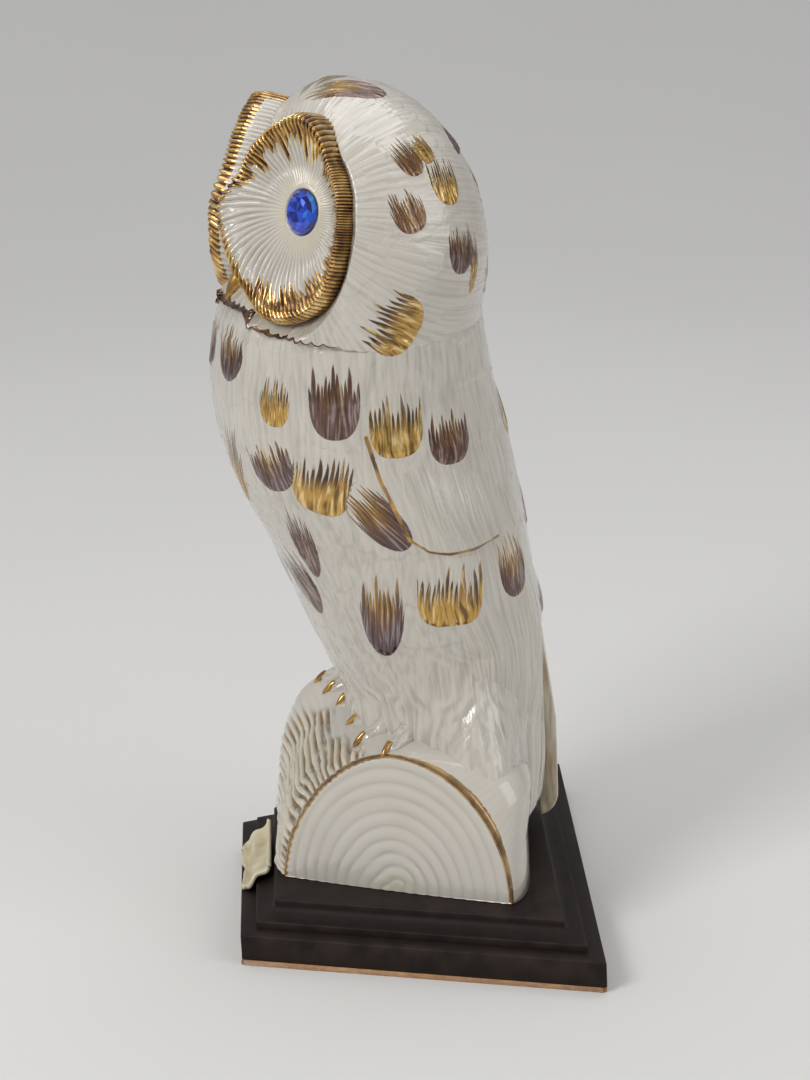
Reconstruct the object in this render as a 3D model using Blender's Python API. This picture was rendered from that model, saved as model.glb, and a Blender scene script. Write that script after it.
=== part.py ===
"""Glazed porcelain owl on a half log, with stone eyes, on a stepped hardwood plinth.

Metres, +Z up. The origin is the middle of the underside. The plinth's short side, which
carries the plaque, faces -Y; the owl looks that way too, turned a little to its left (+X).
"""

import math

import bmesh
import bpy
import numpy as np

MM = 0.001

# Clearance between pieces that touch
GAP = 0.3 * MM

# Plinth: a symmetrical trapezium with a stepped and coved edge
PLINTH_FRONT = 104 * MM
PLINTH_BACK = 186 * MM
PLINTH_DEPTH = 124 * MM
FELT_THICKNESS = 1.5 * MM
FELT_INSET = 0.8 * MM
FOOT_STEP = 9.3 * MM
LEDGE = 5.6 * MM
RISER = 3.2 * MM
COVE_WIDTH = 6.8 * MM
COVE_HEIGHT = 3.8 * MM
LIP_HEIGHT = 2.1 * MM
LIP_ROUND = 0.9 * MM

# Plaque: a thin leaf bent over the ledge and the cove of the front moulding
PLAQUE_LENGTH = 42 * MM
PLAQUE_THICKNESS = 1.2 * MM
PLAQUE_OFFSET = -6 * MM
PLAQUE_MARGIN = 0.6 * MM
PLAQUE_BEND = 1.6 * MM

# Half log: hollow, open below, with two slanting sawn ends
LOG_FRONT = 60 * MM
LOG_BACK = 125 * MM
LOG_DEPTH = 80 * MM
LOG_HEIGHT = 50.5 * MM
LOG_CENTRE = -4 * MM
LOG_SWELL = 2.5 * MM
LOG_BACK_SWELL = 7 * MM
LOG_BACK_SQUARENESS = 2.7
LOG_SHIFT = -3.5 * MM
LOG_TURN = math.radians(-3)
WALL = 4 * MM

# Fixing hardware under the plinth
ANCHOR_LENGTH = 36 * MM
SCREW_SPACING = 20 * MM
SCREW_SHANK = 4 * MM
SCREW_HEAD = 8 * MM
SCREW_HEAD_HEIGHT = 3 * MM
SCREW_BITE = 18 * MM
SOCKET_RADIUS = 2 * MM
SOCKET_DEPTH = 1.6 * MM
WASHER_THICKNESS = 0.8 * MM
COUNTERBORE_DEPTH = 6.5 * MM

# Owl: turn on the log, then torso stations from foot to neck. Each station is its height
# above the log's top, the centre line's set forward (-) or back (+), half width, half depth
OWL_TURN = math.radians(15)
FOOT_STATION = (0 * MM, 10 * MM, 43 * MM, 24.5 * MM)
SHANK_STATION = (8 * MM, 11.5 * MM, 44 * MM, 29 * MM)
THIGH_STATION = (20 * MM, 11.5 * MM, 46.5 * MM, 36.5 * MM)
BELLY_STATION = (60 * MM, 2.7 * MM, 53.5 * MM, 43.8 * MM)
BREAST_STATION = (98 * MM, -8.1 * MM, 54.5 * MM, 49.1 * MM)
SHOULDER_STATION = (122 * MM, -12.5 * MM, 52.5 * MM, 48.5 * MM)
NECK_STATION = (143.5 * MM, -12.7 * MM, 51 * MM, 45.8 * MM)
SKIRT_HEIGHT = 24 * MM

# Head: height of its widest level and of its crown above the neck seam
HEAD_WIDEST = 26 * MM
HEAD_HEIGHT = 82.5 * MM
HEAD_HALF_WIDTH = 55 * MM
HEAD_HALF_DEPTH = 39.8 * MM
HEAD_CENTRE = -6.2 * MM
HEAD_SQUARENESS = 2.4
CROWN_SET_BACK = 3 * MM
CHIN_LOW = 1.2 * MM
CHIN_HIGH = 4.2 * MM
SPIGOT_DEPTH = 8 * MM
SPIGOT_WALL = 3 * MM

# Facial discs: place of the eye, the way the disc faces, and its outline's reach from the eye
# in eighths of a turn from its outer side
EYE_SIDE = 31.5 * MM
EYE_FORWARD = -35.1 * MM
EYE_HEIGHT = 45 * MM
DISC_YAW = math.radians(35)
DISC_PITCH = math.radians(12)
DISC_REACH = tuple(reach * MM for reach in (18, 23.5, 32.5, 30, 31, 38, 38.5, 24.5))
DISC_SEAT = 5.5 * MM
DISC_BED = 1.6 * MM
DISC_FLOOR = 3 * MM
DISC_RIM = 8.2 * MM
DISC_BOSS = 1.5 * MM
DISC_BACKING = 20 * MM
EYE_DIAMETER = 15 * MM
STONE_CROWN = 3 * MM
STONE_PAVILION = 3.2 * MM
STONE_GIRDLE = 0.4 * MM

# Beak
BEAK_DROP = 27 * MM
BEAK_LENGTH = 15 * MM
BEAK_WIDTH = 6 * MM
BEAK_REACH = 5 * MM
BEAK_BED = 0.75 * MM

# Wings and tail: thin pieces laid on the torso, measured as angles round it
WING_FRONT = math.radians(-16)
WING_SWEEP = math.radians(18)
WING_BACK = math.radians(65)
WING_PEAK = 0.25
WING_THICKNESS = 4.5 * MM
WING_EDGE = 2 * MM
WING_BED = 0.6 * MM
WING_SHOULDER = 112 * MM
WING_SHOULDER_FALL = 34 * MM
WING_FRONT_FOOT = 24 * MM
WING_TIP = -4 * MM
WING_HANG = 30 * MM
TAIL_HALF_ANGLE = math.radians(22)
TAIL_THICKNESS = 5 * MM
TAIL_TOP = 46 * MM
TAIL_TIP = -46 * MM
TAIL_TIP_ROUND = 8 * MM
TAIL_HANG = 34 * MM
TAIL_LOG_GAP = 0.6 * MM

# Feet: three toes each, fanned round the front of the torso's foot
FOOT_INNER = math.radians(-82)
FOOT_OUTER = math.radians(-28)
TOE_COUNT = 3
TOE_LENGTH = 13 * MM
TOE_HEIGHT = 4.2 * MM
TOE_WEB = 1.2 * MM
TOE_CLEARANCE = 1.2 * MM

# Fineness of the round shapes
AROUND = 40
ARCH_STEPS = 24
ROUND_SIDES = 16
DISC_SIDES = 32
STONE_SIDES = 12

# Levels that follow from the sizes above
PLINTH_BOTTOM = FELT_THICKNESS + GAP
LEDGE_LEVEL = PLINTH_BOTTOM + FOOT_STEP
COVE_LEVEL = LEDGE_LEVEL + RISER
LIP_LEVEL = COVE_LEVEL + COVE_HEIGHT
PLINTH_TOP = LIP_LEVEL + LIP_HEIGHT
PLINTH_EDGE = LEDGE + COVE_WIDTH + LIP_ROUND
LOG_BASE = PLINTH_TOP + GAP
LOG_TOP = LOG_BASE + LOG_HEIGHT + LOG_SWELL
NECK_LEVEL = LOG_TOP + NECK_STATION[0]
TORSO_STATIONS = np.array([
    FOOT_STATION,
    SHANK_STATION,
    THIGH_STATION,
    BELLY_STATION,
    BREAST_STATION,
    SHOULDER_STATION,
    NECK_STATION,
])


def clear_scene():
    for old in list(bpy.data.objects):
        bpy.data.objects.remove(old, do_unlink=True)


def finish(name, colour, roughness, metallic=0.0):
    """One material: its base colour, roughness and metallic value."""
    material = bpy.data.materials.new(name)
    material.use_nodes = True
    shader = material.node_tree.nodes["Principled BSDF"]
    shader.inputs["Base Color"].default_value = (*colour, 1)
    shader.inputs["Roughness"].default_value = roughness
    shader.inputs["Metallic"].default_value = metallic
    material.diffuse_color = (*colour, 1)
    return material


def empty(name, location, turn):
    """A frame that the pieces standing on it are parented to."""
    frame = bpy.data.objects.new(name, None)
    frame.location = location
    frame.rotation_euler = (0, 0, turn)
    bpy.context.collection.objects.link(frame)
    return frame


def make_piece(name, vertices, faces, material, parent=None, sharp=math.radians(35)):
    """A closed mesh object with its faces turned outward, shaded smooth below the sharp angle."""
    mesh = bpy.data.meshes.new(name)
    mesh.from_pydata([tuple(map(float, v)) for v in vertices], [], [list(map(int, f)) for f in faces])
    shape = bmesh.new()
    shape.from_mesh(mesh)
    bmesh.ops.recalc_face_normals(shape, faces=shape.faces)
    shape.to_mesh(mesh)
    shape.free()
    mesh.materials.append(material)
    mesh.shade_smooth()
    mesh.set_sharp_from_angle(angle=sharp)
    piece = bpy.data.objects.new(name, mesh)
    piece.parent = parent
    bpy.context.collection.objects.link(piece)
    return piece


def skin(loops, closed=False):
    """Vertices and faces over a stack of equal loops: end caps, or joined end to end if closed."""
    size = len(loops[0])
    vertices = np.concatenate(loops)
    index = np.arange(len(vertices)).reshape(len(loops), size)
    if closed:
        index = np.concatenate([index, index[:1]])
    lower, upper = index[:-1], index[1:]
    sides = np.stack([lower, np.roll(lower, -1, 1), np.roll(upper, -1, 1), upper], -1)
    faces = [list(face) for face in sides.reshape(-1, 4)]
    if not closed:
        faces.append(list(index[0][::-1]))
        faces.append(list(index[-1]))
    return vertices, faces


def patch_solid(outer, inner):
    """Vertices and faces of a plate between two equal grids of points."""
    rows, columns = outer.shape[:2]
    count = rows * columns
    index = np.arange(count).reshape(rows, columns)
    front = np.stack([index[:-1, :-1], index[:-1, 1:], index[1:, 1:], index[1:, :-1]], -1).reshape(-1, 4)
    border = np.concatenate([index[0, :-1], index[:-1, -1], index[-1, :0:-1], index[:0:-1, 0]])
    following = np.roll(border, -1)
    rim = np.stack([border, border + count, following + count, following], 1)
    faces = np.concatenate([front, front[:, ::-1] + count, rim])
    vertices = np.concatenate([outer.reshape(-1, 3), inner.reshape(-1, 3)])
    return vertices, faces


def ring(radius, level, sides=ROUND_SIDES):
    """A level circle round the Z axis."""
    angle = np.arange(sides) * 2 * np.pi / sides
    return np.stack([radius * np.cos(angle), radius * np.sin(angle), np.full(sides, level)], 1)


def through(stations, height):
    """Smooth curves through the stations (first column the height), with slopes taken across neighbours."""
    knots = stations[:, 0]
    values = stations[:, 1:]
    slopes = np.gradient(values, knots, axis=0)
    height = np.clip(height, knots[0], knots[-1])
    k = np.clip(np.searchsorted(knots, height, side="right") - 1, 0, len(knots) - 2)
    span = knots[k + 1] - knots[k]
    t = ((height - knots[k]) / span)[..., None]
    span = span[..., None]
    start = values[k] * (1 + 2 * t) * (1 - t) ** 2 + slopes[k] * span * t * (1 - t) ** 2
    end = values[k + 1] * t ** 2 * (3 - 2 * t) + slopes[k + 1] * span * t ** 2 * (t - 1)
    return start + end


def turned(x, y, angle):
    return x * np.cos(angle) - y * np.sin(angle), x * np.sin(angle) + y * np.cos(angle)


# Plinth, felt and plaque


def trapezium(inset, level):
    """The plinth's outline drawn in by an inset, at a level."""
    slant = (PLINTH_BACK - PLINTH_FRONT) / 2 / PLINTH_DEPTH
    draw_in = inset * math.hypot(1, slant)
    front = -PLINTH_DEPTH / 2 + inset
    back = PLINTH_DEPTH / 2 - inset
    half_front = PLINTH_FRONT / 2 + inset * slant - draw_in
    half_back = PLINTH_BACK / 2 - inset * slant - draw_in
    corners = [(-half_front, front), (half_front, front), (half_back, back), (-half_back, back)]
    return np.array([(x, y, level) for x, y in corners])


def moulding():
    """Inset and level of each line of the plinth's edge, from the bottom to the top."""
    lines = [(0, PLINTH_BOTTOM), (0, LEDGE_LEVEL), (LEDGE, LEDGE_LEVEL), (LEDGE, COVE_LEVEL)]
    for step in range(1, 6):
        angle = step / 5 * math.pi / 2
        inset = LEDGE + COVE_WIDTH * math.sin(angle)
        level = COVE_LEVEL + COVE_HEIGHT * (1 - math.cos(angle))
        lines.append((inset, level))
    lines.append((LEDGE + COVE_WIDTH, PLINTH_TOP - LIP_ROUND))
    lines.append((PLINTH_EDGE, PLINTH_TOP))
    return lines


def make_plinth(cutters):
    vertices, faces = skin([trapezium(inset, level) for inset, level in moulding()])
    wood = finish("dark_stained_wood", (0.035, 0.022, 0.019), 0.38)
    plinth = make_piece("plinth", vertices, faces, wood, sharp=math.radians(20))
    cut_with(plinth, cutters)


def make_felt():
    vertices, faces = skin([trapezium(FELT_INSET, 0), trapezium(FELT_INSET, FELT_THICKNESS)])
    make_piece("felt_pad", vertices, faces, finish("tan_felt", (0.45, 0.25, 0.13), 0.95))


def make_plaque():
    """A leaf that lies on the ledge, rises over the riser's edge and leans up the cove to the lip."""
    front = -PLINTH_DEPTH / 2
    lift = GAP + PLAQUE_THICKNESS / 2
    ledge_end = front + LEDGE
    points = np.array([
        (front + PLAQUE_MARGIN, LEDGE_LEVEL + lift),
        (ledge_end - PLAQUE_MARGIN - PLAQUE_BEND, LEDGE_LEVEL + lift + PLAQUE_BEND / 4),
        (ledge_end - PLAQUE_MARGIN, COVE_LEVEL + lift),
        (ledge_end + COVE_WIDTH * 0.6, COVE_LEVEL + COVE_HEIGHT * 0.62 + lift),
        (ledge_end + COVE_WIDTH - PLAQUE_BEND, PLINTH_TOP - LIP_ROUND + lift),
    ])
    along = np.gradient(points, axis=0)
    normal = np.stack([-along[:, 1], along[:, 0]], 1)
    normal /= np.linalg.norm(normal, axis=1, keepdims=True)
    across = PLAQUE_OFFSET + np.linspace(-0.5, 0.5, 9) * PLAQUE_LENGTH

    def sheet(side):
        line = points + normal * side * PLAQUE_THICKNESS / 2
        grid = np.empty((len(line), len(across), 3))
        grid[..., 0] = across
        grid[..., 1] = line[:, :1]
        grid[..., 2] = line[:, 1:]
        return grid

    vertices, faces = patch_solid(sheet(1), sheet(-1))
    make_piece("plaque", vertices, faces, finish("parchment", (0.72, 0.62, 0.42), 0.6))


# Log, its anchor block and the fixing hardware


def log_half_length(y):
    """Distance from the log's middle to its slanting end at a place along its depth."""
    slope = (LOG_BACK - LOG_FRONT) / 2 / LOG_DEPTH
    return LOG_FRONT / 2 + (y - LOG_CENTRE + LOG_DEPTH / 2) * slope


def log_back_swell(along):
    """Swell of the log's back, which grows from the end on the owl's right to the end on its left."""
    return LOG_SWELL + (LOG_BACK_SWELL - LOG_SWELL) * (1 + along) / 2


def log_arch(inset, length_inset, swollen, columns):
    """A grid over the arch, front foot over the top to back foot, from the -X end to the +X end.
    A swollen arch bulges between its sawn ends, most of all at the back, where it is squarer too."""
    angle = np.linspace(0, np.pi, ARCH_STEPS + 1)[:, None]
    along = np.linspace(-1, 1, columns)[None, :]
    cosine, sine = np.cos(angle), np.clip(np.sin(angle), 0, 1)
    share = swollen * (1 - np.abs(along) ** 6)
    depth = LOG_DEPTH / 2 - inset + share * np.where(cosine < 0, log_back_swell(along), LOG_SWELL)
    bend = 2 / (2 + share * np.where(cosine < 0, LOG_BACK_SQUARENESS - 2, 0))
    y = LOG_CENTRE - depth * np.sign(cosine) * np.abs(cosine) ** bend
    z = (LOG_HEIGHT - inset + share * LOG_SWELL) * sine ** bend
    x = along * (log_half_length(y) - length_inset)
    return np.stack([x, y, z], -1)


def log_surface(x, y):
    """Height of the log's swollen top above its base, under a point of the owl's frame."""
    x, y = turned(x, y, OWL_TURN - LOG_TURN)
    along = np.clip(x / log_half_length(y), -1, 1)
    behind = y > LOG_CENTRE
    power = np.where(behind, LOG_BACK_SQUARENESS, 2)
    depth = LOG_DEPTH / 2 + np.where(behind, log_back_swell(along), LOG_SWELL)
    reach = np.clip(np.abs(y - LOG_CENTRE) / depth, 0, 1)
    return (LOG_HEIGHT + LOG_SWELL) * (1 - reach ** power) ** (1 / power)


def make_log(frame, porcelain):
    """An arch with two end walls, hollow and open below."""
    columns = 11
    slope = (LOG_BACK - LOG_FRONT) / 2 / LOG_DEPTH
    outer = log_arch(0, 0, 1, columns)
    inner = log_arch(WALL, WALL * math.hypot(1, slope), 0, columns)
    count = outer.shape[0] * columns
    index = np.arange(count).reshape(outer.shape[0], columns)
    arch = np.stack([index[:-1, :-1], index[:-1, 1:], index[1:, 1:], index[1:, :-1]], -1).reshape(-1, 4)
    faces = [list(face) for face in np.concatenate([arch, arch[:, ::-1] + count])]
    for end in (0, -1):
        faces.append(list(index[:, end]))
        faces.append(list(index[::-1, end] + count))
        faces.append([index[0, end], index[-1, end], index[-1, end] + count, index[0, end] + count])
    for foot in (0, -1):
        edge = index[foot]
        faces += [[a, b, b + count, a + count] for a, b in zip(edge[:-1], edge[1:])]
    vertices = np.concatenate([outer.reshape(-1, 3), inner.reshape(-1, 3)])
    make_piece("log", vertices, faces, porcelain, frame)


def make_anchor_block(frame, cutters):
    """A wooden plug that fills the arch under the owl and takes the screws."""
    inset = WALL + GAP
    angle = np.linspace(0, np.pi, ARCH_STEPS + 1)
    y = LOG_CENTRE - (LOG_DEPTH / 2 - inset) * np.cos(angle)
    z = (LOG_HEIGHT - inset) * np.sin(angle)
    ends = [np.stack([np.full_like(y, side * ANCHOR_LENGTH / 2), y, z], 1) for side in (-1, 1)]
    vertices, faces = skin(ends)
    block = make_piece("anchor_block", vertices, faces, finish("plain_wood", (0.48, 0.33, 0.19), 0.7), frame)
    cut_with(block, cutters)


def screw_places():
    return [(side * SCREW_SPACING / 2, LOG_CENTRE) for side in (-1, 1)]


def counterbore_floor():
    return PLINTH_BOTTOM + COUNTERBORE_DEPTH - LOG_BASE


def screw_head_levels():
    """Top and underside of the screw heads, in the log's frame."""
    top = counterbore_floor() - 2 * GAP - WASHER_THICKNESS
    return top, top - SCREW_HEAD_HEIGHT


def make_screw_cutters(frame):
    """Stepped holes for the screws: counterbore, then shank clearance through plinth and block."""
    cutters = []
    bore = SCREW_SHANK / 2 + GAP
    pocket = SCREW_HEAD / 2 + 3 * GAP
    loops = [
        ring(pocket, PLINTH_BOTTOM - LOG_BASE - MM),
        ring(pocket, counterbore_floor()),
        ring(bore, counterbore_floor()),
        ring(bore, SCREW_BITE + MM),
    ]
    vertices, faces = skin(loops)
    for number, (x, y) in enumerate(screw_places(), 1):
        red = finish("cutter", (1, 0, 0), 1)
        cutter = make_piece(f"screw_hole_{number}", vertices + (x, y, 0), faces, red, frame)
        cutter.hide_render = True
        cutter.display_type = "WIRE"
        cutters.append(cutter)
    return cutters


def cut_with(piece, cutters):
    for cutter in cutters:
        cut = piece.modifiers.new(cutter.name, "BOOLEAN")
        cut.operation = "DIFFERENCE"
        cut.object = cutter


def make_screws(frame):
    steel = finish("zinc_plated_steel", (0.55, 0.55, 0.53), 0.35, 1.0)
    top, underside = screw_head_levels()
    shank = SCREW_SHANK / 2
    screw = skin([
        ring(SOCKET_RADIUS, underside + SOCKET_DEPTH),
        ring(SOCKET_RADIUS, underside),
        ring(SCREW_HEAD / 2, underside),
        ring(SCREW_HEAD / 2, top),
        ring(shank, top),
        ring(shank, SCREW_BITE - shank),
        ring(shank / 4, SCREW_BITE),
    ])
    washer = skin([
        ring(SCREW_HEAD / 2 + GAP, top + GAP),
        ring(SCREW_HEAD / 2 + GAP, top + GAP + WASHER_THICKNESS),
        ring(shank + GAP, top + GAP + WASHER_THICKNESS),
        ring(shank + GAP, top + GAP),
    ], closed=True)
    for number, (x, y) in enumerate(screw_places(), 1):
        make_piece(f"base_screw_{number}", screw[0] + (x, y, 0), screw[1], steel, frame)
        make_piece(f"base_washer_{number}", washer[0] + (x, y, 0), washer[1], steel, frame)


# Torso, wings, tail and feet, in the owl's frame with its base level at the log's base


def torso_section(height):
    """Centre line, half width and half depth of the torso at a height above the log's top."""
    values = through(TORSO_STATIONS, np.asarray(height, float))
    return values[..., 0], values[..., 1], values[..., 2]


def torso_point(angle, height, offset, hang=0.0):
    """A point at an angle round the torso (0 at its left side, +90 degrees at its back), an offset out
    from its surface. Below the hang height the surface drops straight down."""
    centre, half_width, half_depth = torso_section(np.maximum(height, hang))
    x = (half_width + offset) * np.cos(angle)
    y = centre + (half_depth + offset) * np.sin(angle)
    z = LOG_TOP - LOG_BASE + height + 0 * angle
    return np.stack(np.broadcast_arrays(x, y, z), -1)


def torso_loop(height, offset):
    """One level of the torso. Near its foot the level bends down to follow the log."""
    angle = np.arange(AROUND) * 2 * np.pi / AROUND
    loop = torso_point(angle, np.full(AROUND, height), offset)
    blend = max(0.0, 1 - height / SKIRT_HEIGHT) ** 2
    drop = log_surface(loop[:, 0], loop[:, 1]) + GAP - (LOG_TOP - LOG_BASE)
    loop[:, 2] += blend * drop
    return loop


def make_torso(frame, porcelain):
    skirt = np.linspace(0, SKIRT_HEIGHT, 6)
    heights = np.concatenate([skirt, np.linspace(SKIRT_HEIGHT, NECK_STATION[0], 11)[1:]])
    outer = [torso_loop(height, 0) for height in heights]
    inner = [torso_loop(height, -WALL) for height in heights[::-2]]
    vertices, faces = skin(outer + inner, closed=True)
    make_piece("torso", vertices, faces, porcelain, frame)


def make_wing(name, side, frame, porcelain):
    """A plate on the torso's flank: an arched shoulder, a front edge that sweeps back as it goes down,
    thin edges and a low tip towards the back."""
    across = np.linspace(0, 1, 13)[None, :]
    down = np.linspace(0, 1, 15)[:, None]
    front = WING_FRONT + WING_SWEEP * down ** 2
    angle = front + (WING_BACK - front) * across
    shoulder = WING_SHOULDER - WING_SHOULDER_FALL * ((across - WING_PEAK) / (1 - WING_PEAK)) ** 2
    lower = WING_FRONT_FOOT + (WING_TIP - WING_FRONT_FOOT) * np.sin(np.minimum(across / 0.8, 1) * np.pi / 2)
    height = shoulder + (lower - shoulder) * down
    crown = (4 * across * (1 - across)) ** 0.5 * (4 * down * (1 - down)) ** 0.4
    thickness = WING_EDGE + (WING_THICKNESS - WING_EDGE) * crown
    outer = torso_point(angle, height, WING_BED + thickness, WING_HANG)
    inner = torso_point(angle, height, WING_BED, WING_HANG)
    outer[..., 0] *= side
    inner[..., 0] *= side
    vertices, faces = patch_solid(outer, inner)
    make_piece(name, vertices, faces, porcelain, frame)


def tail_set_back(inner):
    """How far the tail has to stand off to hang clear of the log's back, which is nothing where it already
    does."""
    x, y = turned(inner[..., 0], inner[..., 1], OWL_TURN - LOG_TURN)
    along = np.clip(x / log_half_length(y), -1, 1)
    level = np.clip(inner[..., 2] / (LOG_HEIGHT + LOG_SWELL), 0, 1)
    depth = LOG_DEPTH / 2 + log_back_swell(along)
    back = LOG_CENTRE + depth * (1 - level ** LOG_BACK_SQUARENESS) ** (1 / LOG_BACK_SQUARENESS)
    short = np.where(level < 1, back + TAIL_LOG_GAP - y, 0)
    return max(0.0, short.max()) / math.cos(OWL_TURN - LOG_TURN)


def make_tail(frame, porcelain):
    """A plate on the torso's back that hangs down behind the log, with a rounded tip."""
    across = np.linspace(-1, 1, 9)[None, :]
    down = np.linspace(0, 1, 12)[:, None]
    angle = np.pi / 2 + TAIL_HALF_ANGLE * across * (1 - 0.15 * down)
    tip = TAIL_TIP + TAIL_TIP_ROUND * across ** 2
    height = TAIL_TOP + (tip - TAIL_TOP) * down
    thickness = TAIL_THICKNESS * (1 - 0.45 * across ** 2) * np.minimum(1, 0.45 + 2.2 * down)
    outer = torso_point(angle, height, GAP + thickness, TAIL_HANG)
    inner = torso_point(angle, height, GAP, TAIL_HANG)
    swing = tail_set_back(inner) * np.minimum(1, (TAIL_TOP - height) / TAIL_TOP)
    outer[..., 1] += swing
    inner[..., 1] += swing
    vertices, faces = patch_solid(outer, inner)
    make_piece("tail", vertices, faces, porcelain, frame)


def make_foot(name, side, frame, gilt):
    """Three toes fanned over the log in front of the leg, each ending in a claw."""
    across = np.linspace(0, 1, 6 * TOE_COUNT + 1)[None, :]
    out = np.linspace(0, 1, 8)[:, None]
    angle = FOOT_INNER + (FOOT_OUTER - FOOT_INNER) * across + 0 * out
    reach = TOE_CLEARANCE + TOE_LENGTH * out + 0 * angle
    rim = torso_point(angle, np.zeros_like(angle), reach)
    x, y = rim[..., 0], rim[..., 1]
    x = x * side
    seat = log_surface(x, y) + GAP
    lobe = np.abs(np.sin(across * TOE_COUNT * np.pi)) ** 0.7
    arch = np.sqrt(np.clip(1 - (out - 0.45) ** 2 / 0.34, 0, 1))
    thickness = TOE_WEB + (TOE_HEIGHT - TOE_WEB) * lobe * arch * (0.35 + 0.65 * np.minimum(1, 3 * out))
    inner = np.stack([x, y, seat], -1)
    outer = np.stack([x, y, seat + thickness], -1)
    vertices, faces = patch_solid(outer, inner)
    make_piece(name, vertices, faces, gilt, frame)


# Head, facial discs, eye stones and beak, in the owl's frame with its level at the neck seam


def head_section(height):
    """Centre line, half width and half depth of the head at a height above the neck seam."""
    height = np.asarray(height, float)
    low = np.clip(height / HEAD_WIDEST, 0, 1)
    low = low * low * (3 - 2 * low)
    high = np.clip((height - HEAD_WIDEST) / (HEAD_HEIGHT - HEAD_WIDEST), 0, 1)
    dome = np.sqrt(1 - high ** 2)
    neck = NECK_STATION
    centre = neck[1] + (HEAD_CENTRE - neck[1]) * low + (1 - dome) * CROWN_SET_BACK
    half_width = (neck[2] + (HEAD_HALF_WIDTH - neck[2]) * low) * dome
    half_depth = (neck[3] + (HEAD_HALF_DEPTH - neck[3]) * low) * dome
    return centre, half_width, half_depth


def head_power(height):
    """How square the level's outline is: a plain ellipse at the neck seam."""
    rise = np.clip(np.asarray(height, float) / HEAD_WIDEST, 0, 1)
    return 2 + (HEAD_SQUARENESS - 2) * rise


def head_loop(height, offset):
    """One level of the head, an offset out from its surface."""
    angle = np.arange(AROUND) * 2 * np.pi / AROUND
    centre, half_width, half_depth = head_section(height)
    bend = 2 / head_power(height)
    cosine, sine = np.cos(angle), np.sin(angle)
    x = (half_width + offset) * np.sign(cosine) * np.abs(cosine) ** bend
    y = centre + (half_depth + offset) * np.sign(sine) * np.abs(sine) ** bend
    return np.stack([x, y, np.full(AROUND, float(height))], 1)


def inside_head(points):
    height = points[..., 2]
    centre, half_width, half_depth = head_section(height)
    power = head_power(height)
    tiny = 1e-9
    reach = (np.abs(points[..., 0]) / (half_width + tiny)) ** power
    reach = reach + (np.abs(points[..., 1] - centre) / (half_depth + tiny)) ** power
    return (reach < 1) & (height < HEAD_HEIGHT)


def disc_frame(side):
    """The eye's place and the disc's outward, sideways (away from the beak) and upward directions."""
    eye = np.array([side * EYE_SIDE, EYE_FORWARD, EYE_HEIGHT])
    level = np.array([side * math.sin(DISC_YAW), -math.cos(DISC_YAW), 0])
    outward = level * math.cos(DISC_PITCH) + np.array([0, 0, math.sin(DISC_PITCH)])
    sideways = np.array([side * math.cos(DISC_YAW), math.sin(DISC_YAW), 0])
    upward = np.cross(outward, sideways) * side
    return eye, outward, sideways, upward


def pressed_flat(points, depth):
    """Points in front of either disc's seat moved straight back to lie a depth behind it. Close to the
    neck seam, below the discs, the head keeps its round form."""
    share = np.clip((points[:, 2] - CHIN_LOW) / (CHIN_HIGH - CHIN_LOW), 0, 1)
    for side in (1, -1):
        eye, outward, _, _ = disc_frame(side)
        ahead = (points - eye) @ outward + DISC_SEAT + depth
        points = points - (share * np.maximum(ahead, 0))[:, None] * outward
    return points


def make_head(frame, porcelain):
    """A dome, hollow and open below, with flat seats for the discs and a spigot into the torso's neck."""
    rise = np.sin(np.linspace(0, np.pi / 2, 12))[:-1]
    chin = np.array([0, CHIN_LOW, CHIN_HIGH])
    cheek = np.linspace(CHIN_HIGH, HEAD_WIDEST, 4)[1:-1]
    heights = np.concatenate([chin, cheek, HEAD_WIDEST + (HEAD_HEIGHT - HEAD_WIDEST) * rise])
    outer = [pressed_flat(head_loop(height, 0), GAP) for height in heights[::-1]]
    outer[-1][:, 2] = GAP
    neck = torso_point(np.arange(AROUND) * 2 * np.pi / AROUND, np.full(AROUND, NECK_STATION[0]), 0)

    def spigot(inset, level):
        loop = neck.copy()
        middle = np.array([0, NECK_STATION[1]])
        scale = 1 - inset / np.array([NECK_STATION[2], NECK_STATION[3]])
        loop[:, :2] = middle + (loop[:, :2] - middle) * scale
        loop[:, 2] = level
        return loop

    tongue = [
        spigot(WALL + GAP, GAP),
        spigot(WALL + GAP, -SPIGOT_DEPTH),
        spigot(WALL + GAP + SPIGOT_WALL, -SPIGOT_DEPTH),
    ]
    inner_heights = heights[heights < HEAD_HEIGHT - 2 * WALL][1::2]
    inner = [pressed_flat(head_loop(height, -2 * WALL), WALL) for height in inner_heights]
    vertices, faces = skin(outer + tongue + inner)
    make_piece("head", vertices, faces, porcelain, frame)


def disc_outline(angle):
    """The disc's reach from the eye at an angle from its outer side: a smooth closed curve through the
    reaches."""
    reaches = np.array(DISC_REACH)
    count = len(reaches)
    place = np.mod(angle / (2 * np.pi) * count, count)
    k = place.astype(int)
    t = place - k
    before, here, there, beyond = (reaches[(k + step) % count] for step in (-1, 0, 1, 2))
    bend = (there - before) * t + (2 * before - 5 * here + 4 * there - beyond) * t ** 2
    return here + (bend + (3 * here - before - 3 * there + beyond) * t ** 3) / 2


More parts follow.
